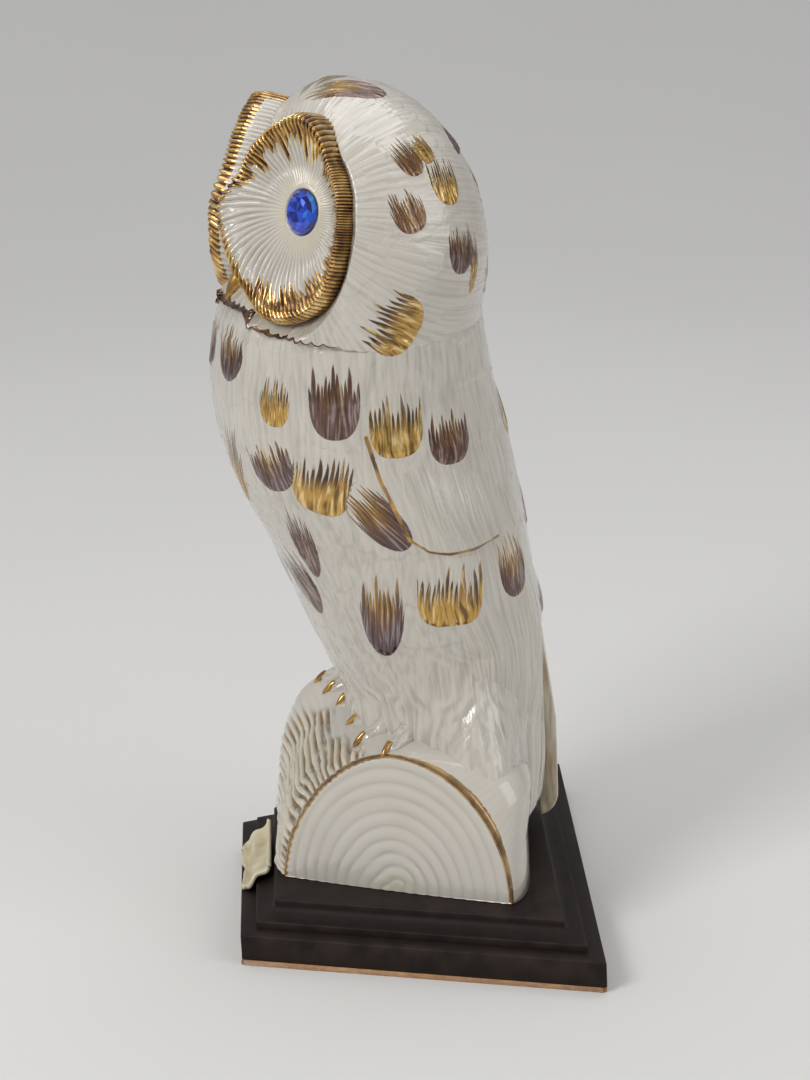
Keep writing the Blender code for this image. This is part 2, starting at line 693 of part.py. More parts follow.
def make_disc(name, side, frame, gilt):
    """A dish round the eye: a stone pocket, a bowl, a raised rim, and a back that follows the head."""
    sides = DISC_SIDES
    angle = np.arange(sides) * 2 * np.pi / sides
    edge = disc_outline(angle)
    eye, outward, sideways, upward = disc_frame(side)
    direction = np.cos(angle)[:, None] * sideways + np.sin(angle)[:, None] * upward
    seat = eye - outward * DISC_SEAT
    pocket = EYE_DIAMETER / 2 + GAP
    boss = pocket + DISC_BOSS

    def loop(reach, height):
        return seat + direction * np.asarray(reach)[..., None] + np.asarray(height)[..., None] * outward

    def back(share):
        """The back at a share of the outline, lowered onto the head behind it."""
        points = loop(edge * share, np.zeros(sides))
        near, far = np.zeros(sides), np.full(sides, DISC_BACKING)
        for _ in range(30):
            middle = (near + far) / 2
            inside = inside_head(points - middle[:, None] * outward)
            far = np.where(inside, middle, far)
            near = np.where(inside, near, middle)
        depth = np.minimum(far, 0.25 * edge * share)
        return points - np.maximum(depth - DISC_BED, 0)[:, None] * outward

    def bowl(share, height):
        return loop(boss + (edge - boss) * share, np.full(sides, height))

    floor = np.full(sides, DISC_SEAT - STONE_PAVILION - GAP)
    rise = DISC_RIM - DISC_FLOOR
    loops = [
        loop(np.full(sides, pocket), floor),
        loop(np.full(sides, pocket), np.full(sides, DISC_SEAT)),
        loop(np.full(sides, boss), np.full(sides, DISC_SEAT - DISC_BOSS / 3)),
        bowl(0.3, DISC_FLOOR + 0.2 * rise),
        bowl(0.55, DISC_FLOOR + 0.5 * rise),
        bowl(0.76, DISC_FLOOR + 0.7 * rise),
        bowl(0.88, DISC_RIM),
        bowl(0.96, DISC_FLOOR + 0.85 * rise),
        bowl(1.0, DISC_FLOOR + 0.35 * rise),
    ]
    loops += [back(share) for share in (1.0, 0.93, 0.86, 0.79, 0.72, 0.64, 0.5)]
    vertices, faces = skin(loops)
    make_piece(name, vertices, faces, gilt, frame)


def make_stone(name, side, frame, crystal):
    """A round cut stone: table, two rows of crown facets, girdle and a shallow pavilion."""
    angle = np.arange(STONE_SIDES) * 2 * np.pi / STONE_SIDES
    eye, outward, sideways, upward = disc_frame(side)
    flat = np.cos(angle)[:, None] * sideways + np.sin(angle)[:, None] * upward
    radius = EYE_DIAMETER / 2

    def loop(reach, height):
        return eye + flat * reach + outward * height

    loops = [
        loop(radius * 0.55, STONE_CROWN),
        loop(radius * 0.82, STONE_CROWN * 0.62),
        loop(radius, STONE_GIRDLE),
        loop(radius, 0),
        loop(radius * 0.3, -STONE_PAVILION),
    ]
    vertices, faces = skin(loops)
    make_piece(name, vertices, faces, crystal, frame, sharp=math.radians(5))


def make_beak(frame, gold):
    """A hooked wedge on the head's front ridge between the discs, pointing down."""
    top = EYE_HEIGHT - BEAK_DROP + BEAK_LENGTH / 2
    levels = np.linspace(0, 1, 7)
    loops = []
    for level in levels:
        height = top - BEAK_LENGTH * level
        centre, _, half_depth = head_section(height)
        seat = centre - half_depth - BEAK_BED
        stand = BEAK_REACH * math.sin(math.pi * (0.12 + 0.78 * level)) * (1 - 0.25 * level)
        wide = BEAK_WIDTH / 2 * math.sin(math.pi * (0.2 + 0.72 * level))
        root = wide * 0.7
        outline = [
            (root, seat),
            (wide, seat - stand * 0.5),
            (0, seat - stand),
            (-wide, seat - stand * 0.5),
            (-root, seat),
        ]
        loops.append(np.array([(x, y, height) for x, y in outline]))
    vertices, faces = skin(loops)
    make_piece("beak", vertices, faces, gold, frame)


def build():
    clear_scene()
    porcelain = finish("white_porcelain", (0.82, 0.79, 0.74), 0.12)
    gold = finish("gold_lustre", (0.62, 0.40, 0.12), 0.22, 1.0)
    gilt = finish("gilt_porcelain", (0.66, 0.55, 0.42), 0.18, 0.2)
    crystal = finish("blue_crystal", (0.01, 0.03, 0.55), 0.05)

    log_frame = empty("log_frame", (LOG_SHIFT, 0, LOG_BASE), LOG_TURN)
    owl_frame = empty("owl_frame", (LOG_SHIFT, 0, LOG_BASE), OWL_TURN)
    head_frame = empty("head_frame", (0, 0, NECK_LEVEL - LOG_BASE), 0)
    head_frame.parent = owl_frame

    cutters = make_screw_cutters(log_frame)
    make_plinth(cutters)
    make_felt()
    make_plaque()
    make_log(log_frame, porcelain)
    make_anchor_block(log_frame, cutters)
    make_screws(log_frame)
    make_torso(owl_frame, porcelain)
    make_tail(owl_frame, porcelain)
    make_head(head_frame, porcelain)
    make_beak(head_frame, gold)
    for word, side in (("left", 1), ("right", -1)):
        make_wing(f"{word}_wing", side, owl_frame, porcelain)
        make_foot(f"{word}_foot", side, owl_frame, gilt)
        make_disc(f"{word}_facial_disc", side, head_frame, gilt)
        make_stone(f"{word}_eye_stone", side, head_frame, crystal)


build()
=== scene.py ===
"""The owl figurine's visible surfaces and finishes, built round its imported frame. Lengths are in metres."""
import math

import bpy
import numpy as np
from mathutils import Matrix, Vector
from mathutils.bvhtree import BVHTree


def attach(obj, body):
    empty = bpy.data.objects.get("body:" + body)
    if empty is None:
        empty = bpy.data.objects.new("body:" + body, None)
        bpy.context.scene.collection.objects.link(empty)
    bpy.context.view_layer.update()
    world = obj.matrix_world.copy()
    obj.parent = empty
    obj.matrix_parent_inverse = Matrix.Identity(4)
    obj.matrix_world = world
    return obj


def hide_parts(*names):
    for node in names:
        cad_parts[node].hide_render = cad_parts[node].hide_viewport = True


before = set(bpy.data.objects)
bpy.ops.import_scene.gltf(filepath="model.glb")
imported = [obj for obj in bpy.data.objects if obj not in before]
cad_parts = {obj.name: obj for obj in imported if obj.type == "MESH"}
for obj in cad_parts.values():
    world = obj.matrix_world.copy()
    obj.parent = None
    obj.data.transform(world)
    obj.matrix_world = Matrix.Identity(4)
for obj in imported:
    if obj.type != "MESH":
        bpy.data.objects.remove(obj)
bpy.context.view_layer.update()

MM = 0.001
GAP = 0.3 * MM

# Plinth, felt and plaque
PLINTH_FRONT = 104 * MM
PLINTH_BACK = 186 * MM
PLINTH_DEPTH = 124 * MM
FELT_THICKNESS = 1.5 * MM
FOOT_STEP = 9.3 * MM
LEDGE = 5.6 * MM
RISER = 3.2 * MM
COVE_WIDTH = 6.8 * MM
COVE_HEIGHT = 3.8 * MM
LIP_HEIGHT = 2.1 * MM
LIP_ROUND = 0.9 * MM
ARRIS = 0.5 * MM
PLAQUE_LENGTH = 42 * MM
PLAQUE_THICKNESS = 1.2 * MM
PLAQUE_OFFSET = -6 * MM
PLAQUE_MARGIN = 0.6 * MM
PLAQUE_BEND = 1.6 * MM

# Half log
LOG_FRONT = 60 * MM
LOG_BACK = 125 * MM
LOG_DEPTH = 80 * MM
LOG_HEIGHT = 50.5 * MM
LOG_CENTRE = -4 * MM
LOG_SWELL = 2.5 * MM
LOG_BACK_SWELL = 8.5 * MM
LOG_BACK_SQUARENESS = 4.2
LOG_FRONT_SQUARENESS = 1.72
LOG_BACK_SHOULDER = 5 * MM
EYE_NARROWING = 0.88
LOG_SHIFT = -3.5 * MM
LOG_TURN = math.radians(-3)
RING_COUNT = 10

# Owl: height above the log's top, centre line, half width and half depth of each level of the torso
OWL_TURN = math.radians(15)
TORSO_STATIONS = MM * np.array([
    (0, 10, 43, 24.5),
    (8, 11.5, 44, 29),
    (20, 11.5, 46.5, 36.5),
    (60, 2.7, 53.5, 43.8),
    (98, -8.1, 54.5, 49.1),
    (122, -12.5, 52.5, 48.5),
    (143.5, -12.7, 51, 45.8),
])
NECK = TORSO_STATIONS[-1]
SKIRT_HEIGHT = 24 * MM
HEAD_WIDEST = 26 * MM
HEAD_HEIGHT = 82.5 * MM
HEAD_HALF_WIDTH = 55 * MM
HEAD_HALF_DEPTH = 39.8 * MM
HEAD_CENTRE = -6.2 * MM
HEAD_SQUARENESS = 2.4
CROWN_SET_BACK = -3 * MM
EYE_SIDE = 31.5 * MM
EYE_FORWARD = -35.1 * MM
EYE_HEIGHT = 45 * MM
DISC_YAW = math.radians(35)
DISC_PITCH = math.radians(12)
DISC_SEAT = 5.5 * MM
DISC_FLOOR = 3 * MM
DISC_RIM = 8.2 * MM
DISC_BOSS = 1.5 * MM
EYE_DIAMETER = 15 * MM
STONE_CROWN = 3 * MM
STONE_PAVILION = 3.2 * MM
STONE_GIRDLE = 0.4 * MM
FLUTES = 74
BEAK_DROP = 27 * MM
BEAK_LENGTH = 15 * MM
BEAK_WIDTH = 6 * MM
BEAK_REACH = 5 * MM
WING_FRONT = math.radians(-16)
WING_SWEEP = math.radians(18)
WING_BACK = math.radians(65)
WING_PEAK = 0.25
WING_SHOULDER = 112 * MM
WING_SHOULDER_FALL = 34 * MM
WING_FRONT_FOOT = 24 * MM
WING_TIP = -4 * MM
WING_HANG = 30 * MM
TAIL_HALF_ANGLE = math.radians(22)
TAIL_THICKNESS = 5 * MM
TAIL_TOP = 46 * MM
TAIL_TIP = -48 * MM
TAIL_TIP_ROUND = 2 * MM
TAIL_HANG = 27 * MM

# Levels that follow from the sizes above
PLINTH_BOTTOM = FELT_THICKNESS + GAP
LEDGE_LEVEL = PLINTH_BOTTOM + FOOT_STEP
COVE_LEVEL = LEDGE_LEVEL + RISER
LIP_LEVEL = COVE_LEVEL + COVE_HEIGHT
PLINTH_TOP = LIP_LEVEL + LIP_HEIGHT
LOG_BASE = PLINTH_TOP + GAP
LOG_CREST = LOG_HEIGHT + LOG_SWELL
NECK_RISE = LOG_CREST + NECK[0]

# The photograph's camera: picture size and focal length in pixels, place and axes
PICTURE = (810, 1080)
FOCAL = 3200
CAMERA_PLACE = np.array([1.0773, -0.0235, 0.4727])
CAMERA_RIGHT = np.array([0.04031, 0.99801, -0.0485])
CAMERA_UP = np.array([-0.29688, 0.05831, 0.95313])
CAMERA_BACK = np.array([0.95406, -0.02402, 0.29864])


# Number helpers


def smooth(low, high, value):
    """Zero below low, one above high, a cubic ease between."""
    t = np.clip((value - low) / (high - low), 0, 1)
    return t * t * (3 - 2 * t)


def turned(x, y, angle):
    return x * np.cos(angle) - y * np.sin(angle), x * np.sin(angle) + y * np.cos(angle)


def placed(points, turn):
    """Points of the log's or owl's own frame, turned about the upright and set on the plinth."""
    x, y = turned(points[..., 0], points[..., 1], turn)
    return np.stack([x + LOG_SHIFT, y, points[..., 2] + LOG_BASE], -1)


def unplaced(points, turn):
    """The reverse of placed."""
    x, y = turned(points[..., 0] - LOG_SHIFT, points[..., 1], -turn)
    return np.stack([x, y, points[..., 2] - LOG_BASE], -1)


def scatter(i, j, seed):
    """A repeatable random number from 0 to 1 for each pair of whole numbers: their bits multiplied and
    mixed."""
    bits = i.astype(np.uint32) * np.uint32(668265263) + j.astype(np.uint32) * np.uint32(374761393)
    bits = bits + np.uint32((seed * 2654435761) % 2 ** 32)
    bits = (bits ^ (bits >> np.uint32(15))) * np.uint32(2246822519)
    bits = (bits ^ (bits >> np.uint32(13))) * np.uint32(3266489917)
    return (bits ^ (bits >> np.uint32(16))) / 2.0 ** 32


def drift(u, v, seed, wrap=0):
    """Smooth noise from 0 to 1: random values on whole numbers of u and v, eased between.
    With a wrap, u repeats after that many cells."""
    u, v = np.broadcast_arrays(u, v)
    i, j = np.floor(u).astype(np.int64), np.floor(v).astype(np.int64)
    s, t = smooth(0, 1, u - i), smooth(0, 1, v - j)
    left, right = (i % wrap, (i + 1) % wrap) if wrap else (i, i + 1)
    low = scatter(left, j, seed) * (1 - s) + scatter(right, j, seed) * s
    high = scatter(left, j + 1, seed) * (1 - s) + scatter(right, j + 1, seed) * s
    return low * (1 - t) + high * t


def combed(across, along, seed, wrap=0):
    """Hand-combed strokes from -1 to 1: noise that is one cell wide and several long, its lines bent by
    slower noise, with a second sharper set between."""
    bend = 1.6 * drift(across / 6, along * 0.8, seed + 1, wrap // 6 if wrap else 0)
    wide = drift(across + bend, along * 0.5, seed + 2, wrap)
    fine = drift(across * 2 + bend * 2, along * 0.7, seed + 3, 2 * wrap)
    return 0.8 * (wide - 0.5) + 1.3 * (np.abs(2 * fine - 1) - 0.5)


def lobes(across, along):
    """Overlapping rows of rounded feather tips: each rises along its length and drops at its tip, from
    -0.5 to 0.5. One lobe is one cell wide and one long, and every other row is set half a cell aside."""
    row = np.floor(along)
    for _ in range(2):
        whole = row.astype(np.int64)
        aside = across + 0.5 * np.mod(row, 2) + 0.3 * scatter(whole, 0 * whole, 7)
        bowed = along + 0.45 * (2 * np.mod(aside, 1) - 1) ** 2
        row = np.floor(bowed)
    return np.mod(bowed, 1) - 0.5


def through(stations, place):
    """Smooth curves through the stations (first column the place), with slopes taken across
    neighbours."""
    knots, values = stations[:, 0], stations[:, 1:]
    slopes = np.gradient(values, knots, axis=0)
    place = np.clip(place, knots[0], knots[-1])
    k = np.clip(np.searchsorted(knots, place, side="right") - 1, 0, len(knots) - 2)
    span = (knots[k + 1] - knots[k])[..., None]
    t = (place - knots[k])[..., None] / span
    start = values[k] * (1 + 2 * t) * (1 - t) ** 2 + slopes[k] * span * t * (1 - t) ** 2
    end = values[k + 1] * t ** 2 * (3 - 2 * t) + slopes[k + 1] * span * t ** 2 * (t - 1)
    return start + end


def unit(vectors):
    return vectors / np.maximum(np.linalg.norm(vectors, axis=-1, keepdims=True), 1e-12)


def normals(points, wrap):
    """Outward unit normals of a grid: the cross product of its two directions of travel."""
    down = np.gradient(points, axis=0)
    if wrap:
        across = np.roll(points, -1, 1) - np.roll(points, 1, 1)
    else:
        across = np.gradient(points, axis=1)
    direction = unit(np.cross(across, down))
    outward = ((points - points.mean((0, 1))) * direction).sum()
    return direction if outward > 0 else -direction


# Meshes


def grid_faces(rows, columns, wrap, start):
    """Corner numbers of the quads of a grid, the last column joined to the first with a wrap."""
    index = np.arange(rows * columns).reshape(rows, columns) + start
    if wrap:
        index = np.concatenate([index, index[:, :1]], 1)
    return np.stack([index[:-1, :-1], index[:-1, 1:], index[1:, 1:], index[1:, :-1]], -1).reshape(-1, 4)


def make_piece(name, grids, finish, slot, nodes, sharp=None, **fields):
    """One mesh from grids of points, each with a flag for a wrap. Points that meet are made one, so seams
    and poles close, and quads that lose a corner become triangles. Faces are turned so that the enclosed
    volume is positive. Each field is a list of one array for each grid, stored as a vertex attribute."""
    points = np.concatenate([grid.reshape(-1, 3) for grid, _ in grids])
    faces, start = [], 0
    for grid, wrap in grids:
        rows, columns = grid.shape[:2]
        faces.append(grid_faces(rows, columns, wrap, start))
        start += rows * columns
    faces = np.concatenate(faces)
    _, first, same = np.unique(np.round(points / (0.01 * MM)).astype(np.int64), axis=0,
                               return_index=True, return_inverse=True)
    points, faces = points[first], same.reshape(-1)[faces]
    kept = faces != np.roll(faces, 1, 1)
    corners = kept.sum(1)
    quads = faces[corners == 4]
    quads = quads[(quads[:, 0] != quads[:, 2]) & (quads[:, 1] != quads[:, 3])]
    triangles = faces[corners == 3][kept[corners == 3]].reshape(-1, 3)
    whole = np.concatenate([quads[:, [0, 1, 2]], quads[:, [0, 2, 3]], triangles])
    a, b, c = (points[whole[:, k]] - points.mean(0) for k in range(3))
    if (a * np.cross(b, c)).sum() < 0:
        quads, triangles = quads[:, ::-1], triangles[:, ::-1]
    mesh = bpy.data.meshes.new(name)
    mesh.vertices.add(len(points))
    mesh.vertices.foreach_set("co", points.astype(np.float32).ravel())
    mesh.loops.add(quads.size + triangles.size)
    corners = np.concatenate([quads.ravel(), triangles.ravel()])
    mesh.loops.foreach_set("vertex_index", corners.astype(np.int32))
    mesh.polygons.add(len(quads) + len(triangles))
    totals = np.concatenate([np.full(len(quads), 4), np.full(len(triangles), 3)]).astype(np.int32)
    mesh.polygons.foreach_set("loop_start", (np.cumsum(totals) - totals).astype(np.int32))
    mesh.update(calc_edges=True)
    mesh.validate()
    for word, values in fields.items():
        width = 3 if values[0].ndim == 3 else 1
        flat = np.concatenate([value.reshape(-1, width) for value in values])[first]
        kind = "FLOAT_VECTOR" if width == 3 else "FLOAT"
        attribute = mesh.attributes.new(word, kind, "POINT")
        attribute.data.foreach_set("vector" if width == 3 else "value", flat.astype(np.float32).ravel())
    mesh.shade_smooth()
    if sharp is not None:
        mesh.set_sharp_from_angle(angle=sharp)
    mesh.materials.append(finish)
    piece = bpy.data.objects.new(name, mesh)
    bpy.context.scene.collection.objects.link(piece)
    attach(piece, "root")
    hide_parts(*nodes)
    return piece


def closed_plate(outer, inner):
    """One closed grid from a plate's two faces: each row goes out over the outer face and back under the
    inner one, and the first and last rows fold shut."""
    rows = np.concatenate([outer, inner[:, ::-1]], 1)
    first = np.concatenate([outer[:1], outer[:1, ::-1]], 1)
    last = np.concatenate([outer[-1:], outer[-1:, ::-1]], 1)
    return np.concatenate([first, rows, last])


def both_faces(values):
    """A field of the outer face repeated for a closed plate."""
    rows = np.concatenate([values, values[:, ::-1]], 1)
    return np.concatenate([rows[:1], rows, rows[-1:]])


# Body shapes that the part's solids have too


def log_half_length(y):
    """Distance from the log's middle to its slanting end at a place along its depth."""
    slope = (LOG_BACK - LOG_FRONT) / 2 / LOG_DEPTH
    return LOG_FRONT / 2 + (y - LOG_CENTRE + LOG_DEPTH / 2) * slope


def log_back_swell(along):
    return LOG_SWELL + (LOG_BACK_SWELL - LOG_SWELL) * (1 + along) / 2


def log_section(behind, along):
    """At a place along the log: how far its section is from the sawn ends' plain one, its half depth, and
    the power of its curve, which is low in front near the left end."""
    share = 1 - np.abs(along) ** 6
    depth = LOG_DEPTH / 2 + share * np.where(behind, log_back_swell(along), LOG_SWELL)
    front = LOG_FRONT_SQUARENESS + 0.4 * (1 - smooth(-0.2, 0.9, along))
    return share, depth, np.where(behind, 2 + share * (LOG_BACK_SQUARENESS - 2), front)


def log_arch(angle, along):
    """A point of the log's swollen arch: a steep curve in front and half an ellipse behind at the sawn
    ends, fuller and squarer between them."""
    cosine, sine = np.cos(angle), np.clip(np.sin(angle), 0, 1)
    share, depth, power = log_section(cosine < 0, along)
    behind = cosine < 0
    bend = 2 / power
    y = LOG_CENTRE - depth * np.sign(cosine) * np.abs(cosine) ** bend
    rise = sine ** bend
    shoulder = smooth(-0.3, 0.5, along) * smooth(0.3, 0.75, rise) * (1 - rise ** 6)
    y = y + LOG_BACK_SHOULDER * behind * share * shoulder
    z = (LOG_HEIGHT + share * LOG_SWELL) * rise
    return np.stack([along * log_half_length(y), y, z], -1)


def log_surface(x, y):
    """Height of the log's top above its base, under a point of the owl's frame."""
    x, y = turned(x, y, OWL_TURN - LOG_TURN)
    share, depth, power = log_section(y > LOG_CENTRE, np.clip(x / log_half_length(y), -1, 1))
    reach = np.clip(np.abs(y - LOG_CENTRE) / depth, 0, 1)
    return (LOG_HEIGHT + share * LOG_SWELL) * (1 - reach ** power) ** (1 / power)


def torso_point(angle, height, offset, hang=0.0):
    """A point at an angle round the torso (0 at its left side, a quarter turn at its back), an offset out
    from its surface. Below the hang height the surface drops straight down."""
    centre, half_width, half_depth = np.moveaxis(through(TORSO_STATIONS, np.maximum(height, hang)), -1, 0)
    x = (half_width + offset) * np.cos(angle)
    y = centre + (half_depth + offset) * np.sin(angle)
    return np.stack(np.broadcast_arrays(x, y, LOG_CREST + height), -1)


def plumage_point(angle, height):
    """The torso as it is seen: the flanks and back hang straight down from the thighs, the front and
    flanks flare softly onto the log, and the back drapes behind it and turns in. Above the neck it goes
    on inside the head's surface."""
    aside = np.sin(angle)
    hang = 27 * MM * smooth(-0.55, 0.25, aside)
    behind = smooth(0.45, 0.8, aside)
    front = 1 - smooth(-0.6, -0.1, aside)
    spread = (11 + 5 * smooth(-0.3, 0.1, aside) - 6.5 * front) * MM * (1 - smooth(0.05, 0.6, aside))
    spread = spread * np.clip(1 - height / (28 * MM), 0, 1) ** 2
    tuck = 6 * MM * behind * np.clip(1 - height / (9 * MM), 0, 1) ** 2
    points = torso_point(angle, np.minimum(height, NECK[0]), spread - tuck, hang)
    points[..., 2] += np.maximum(skirt_drop(points, height), -38 * MM)
    above = np.maximum(height - NECK[0], 0)
    neck = head_point(angle, above) - np.array([0, NECK[1], 0])
    neck = neck * np.array([0.985, 0.985, 1]) + np.array([0, NECK[1], 0])
    return banked(np.where((above > 0)[..., None] & np.ones(points.shape, bool), neck, points))


def skirt_drop(points, height):
    """How far a torso point near the foot is lowered to follow the log."""
    blend = np.clip(1 - height / SKIRT_HEIGHT, 0, 1) ** 2
    return blend * (log_surface(points[..., 0], points[..., 1]) - LOG_CREST)


def head_point(angle, height):
    """A point at an angle round the head at a height above the neck seam: a superellipse at each
    level."""
    low = smooth(0, HEAD_WIDEST, height)
    high = np.clip((height - HEAD_WIDEST) / (HEAD_HEIGHT - HEAD_WIDEST), 0, 1)
    dome = np.sqrt(1 - high ** 2)
    centre = NECK[1] + (HEAD_CENTRE - NECK[1]) * low + (1 - dome) * CROWN_SET_BACK
    half_width = (NECK[2] + (HEAD_HALF_WIDTH - NECK[2]) * low) * dome
    half_depth = (NECK[3] + (HEAD_HALF_DEPTH - NECK[3]) * low) * dome
    bend = 2 / (2 + (HEAD_SQUARENESS - 2) * np.clip(height / HEAD_WIDEST, 0, 1))
    x = half_width * np.sign(np.cos(angle)) * np.abs(np.cos(angle)) ** bend
    y = centre + half_depth * np.sign(np.sin(angle)) * np.abs(np.sin(angle)) ** bend
    return np.stack(np.broadcast_arrays(x, y, NECK_RISE + height), -1)


def disc_frame(side):
    """The eye's place and the disc's outward, sideways (away from the beak) and upward directions."""
    eye = np.array([side * EYE_SIDE, EYE_FORWARD, NECK_RISE + EYE_HEIGHT])
    level = np.array([side * math.sin(DISC_YAW), -math.cos(DISC_YAW), 0])
    outward = level * math.cos(DISC_PITCH) + np.array([0, 0, math.sin(DISC_PITCH)])
    sideways = np.array([side * math.cos(DISC_YAW), math.sin(DISC_YAW), 0])
    return eye, outward, sideways, np.cross(outward, sideways) * side


def banked(points):
    """Points in front of either disc's seat moved straight back to it; round the disc they stay as far in
    front of it as a soft bank, which rises with the distance from the disc's outline."""
    for side in (1, -1):
        eye, outward, sideways, upward = disc_frame(side)
        away = points - eye
        across, up = away @ sideways, away @ upward
        outside = np.hypot(across, up) - disc_reach(np.arctan2(up, across))
        ahead = away @ outward + DISC_SEAT - 0.9 * np.maximum(outside + 1 * MM, 0)
        points = points - np.maximum(ahead, 0)[..., None] * outward
    return points


def wing_outline(across, down):
    """Angle and height of a place on the wing: an arched shoulder, a front edge that sweeps back and a
    low tip."""
    front = WING_FRONT + WING_SWEEP * down ** 2
    angle = front + (WING_BACK - front) * across
    shoulder = WING_SHOULDER - WING_SHOULDER_FALL * ((across - WING_PEAK) / (1 - WING_PEAK)) ** 2
    lower = WING_FRONT_FOOT + (WING_TIP - WING_FRONT_FOOT) * np.sin(np.minimum(across / 0.8, 1) * np.pi / 2)
    return angle, shoulder + (lower - shoulder) * down


def wing_lift(across, down):
    """How far the wing's face stands off the torso: soft at the shoulder, the back and the lower
    edges."""
    lift = smooth(0, 0.4, down) * smooth(0, 0.35, 1 - across)
    lift = lift * smooth(0, 0.25, across) * smooth(0, 0.2, 1 - down)
    return (-0.5 + 3.4 * lift) * MM


# Places read from the photograph, carried onto the body by sight lines


def sight_line(pixel):
    """The direction from the camera through a pixel."""
    x = (pixel[0] - PICTURE[0] / 2) / FOCAL
    y = (PICTURE[1] / 2 - pixel[1]) / FOCAL
    return unit(CAMERA_RIGHT * x + CAMERA_UP * y - CAMERA_BACK)


def search_tree(grids):
    points, faces, start = [], [], 0
    for grid in grids:
        rows, columns = grid.shape[:2]
        points.append(grid.reshape(-1, 3))
        faces.append(grid_faces(rows, columns, False, start))
        start += rows * columns
    return BVHTree.FromPolygons(np.concatenate(points).tolist(), np.concatenate(faces).tolist())


def body_tree():
    """A search tree of the smooth torso, head and near wing."""
    angle = np.linspace(0, 2 * np.pi, 121)[None, :]
    torso = plumage_point(angle, np.linspace(0, NECK[0], 61)[:, None])
    rise = np.sin(np.linspace(0, np.pi / 2, 61))[:, None]
    across, down = np.linspace(0, 1, 41)[None, :], np.linspace(0, 1, 61)[:, None]
    wing_angle, wing_height = wing_outline(across, down)
    wing = torso_point(wing_angle, wing_height, wing_lift(across, down), WING_HANG)
    head = head_point(angle, HEAD_HEIGHT * rise)
    return search_tree([placed(grid, OWL_TURN) for grid in (torso, head, wing)])


def knot_share(points):
    """How much of the smooth swelling on the log's far front is at each point."""
    return np.exp(-((points[..., 0] - KNOT[0]) ** 2 + (points[..., 1] - KNOT[1]) ** 2) / KNOT[2] ** 2)


def log_tree():
    """A search tree of the log's arch with its swelling."""
    angle, along = np.linspace(0, np.pi, 61)[:, None], np.linspace(-1, 1, 41)[None, :]
    plain = log_arch(angle, along)
    swollen = plain + normals(plain, False) * (KNOT[3] * knot_share(plain))[..., None]
    return search_tree([placed(swollen, LOG_TURN)])


def on_body(tree, pixel):
    """Where a pixel's sight line meets the body, and the normal there. A line that just misses takes the
    nearest place."""
    line = sight_line(pixel)
    place, normal, _, _ = tree.ray_cast(Vector(CAMERA_PLACE), Vector(line))
    if place is None:
        axis = np.array([LOG_SHIFT, 0, 0]) - CAMERA_PLACE
        reach = (axis * line)[:2].sum() / (line[:2] ** 2).sum()
        place, normal, _, _ = tree.find_nearest(Vector(CAMERA_PLACE + line * reach))
    normal = np.array(normal)
    if normal @ line > 0:
        normal = -normal
    return np.array(place), normal


# Painted feathers on the near side: root, tip and width in pixels of the photograph, tone at the tip and
# at the root (0 plum, 0.5 bronze, 1 gold), strength of the dark strokes, and how round the tip is
PAINTED = [
    ((296, 84), (386, 90), 26, 0.15, 1.3, 0.4, 2.4),
    ((388, 136), (420, 174), 24, 0.35, 0.5, 0.7, 2.4),
    ((406, 130), (434, 164), 16, 0.95, 0.8, 0.4, 2.4),
    ((435, 150), (452, 204), 27, 0.9, 0.75, 1.0, 2.4),
    ((396, 184), (417, 232), 34, 0.3, 0.45, 0.7, 2.6),
    ((440, 121), (460, 152), 15, 0.05, 0.2, 0.3, 2.0),
    ((460, 218), (463, 274), 24, 0.05, 0.45, 0.5, 2.4),
    ((473, 216), (475, 294), 10, 0.7, 0.4, 0.7, 2.0),
    ((362, 308), (418, 336), 66, 0.8, 0.75, 1.0, 2.4),
    ((233, 318), (227, 381), 27, 0.05, 0.85, 0.6, 2.0),
    ((275, 374), (273, 427), 31, 0.95, 0.8, 0.9, 2.6),
    ((333, 354), (335, 441), 52, 0.1, 0.3, 0.3, 2.6),
    ((393, 388), (399, 458), 54, 1.0, 0.9, 0.9, 2.8),
    ((446, 402), (453, 464), 40, 0.12, 0.5, 0.6, 2.6),
    ((259, 434), (279, 492), 41, 0.05, 0.55, 0.5, 2.2),
    ((324, 449), (318, 515), 62, 0.95, 0.6, 1.0, 2.8),
    ((222, 418), (249, 502), 24, 0.85, 0.7, 0.9, 1.8),
    ((343, 486), (409, 549), 38, 0.08, 0.75, 0.5, 2.2),
    ((287, 502), (317, 578), 25, 0.15, 0.25, 0.6, 1.8),
    ((277, 540), (323, 613), 17, 0.15, 0.3, 0.5, 1.6),
    ((380, 566), (383, 657), 45, 0.0, 0.72, 0.3, 2.0),
    ((450, 560), (450, 627), 65, 0.95, 0.6, 1.0, 3.0),
    ((507, 528), (520, 595), 30, 0.1, 0.9, 0.6, 2.4),
    ((522, 440), (528, 520), 19, 0.95, 0.75, 0.9, 1.8),
    ((505, 380), (514, 431), 15, 0.8, 0.7, 0.3, 2.2),
    ((545, 564), (548, 612), 11, 0.05, 0.2, 0.3, 1.8),
]
# Feathers on the back, which the photograph doesn't show: level above the neck seam or the log's top, angle
# past the back's middle line, length, width and the tones as above
BACK_OF_HEAD = [
    (62, 0, 20, 11, 0.1, 0.8),
    (48, 17, 20, 12, 0.9, 0.7),
    (34, 0, 22, 13, 0.15, 0.6),
    (18, 20, 21, 12, 0.95, 0.8),
]
BACK_OF_TORSO = [
    (126, 0, 24, 15, 0.1, 0.6),
    (112, 19, 24, 15, 0.95, 0.7),
    (94, 0, 25, 16, 0.95, 0.6),
    (78, 16, 25, 15, 0.08, 0.8),
    (60, 0, 24, 14, 0.15, 0.9),
]
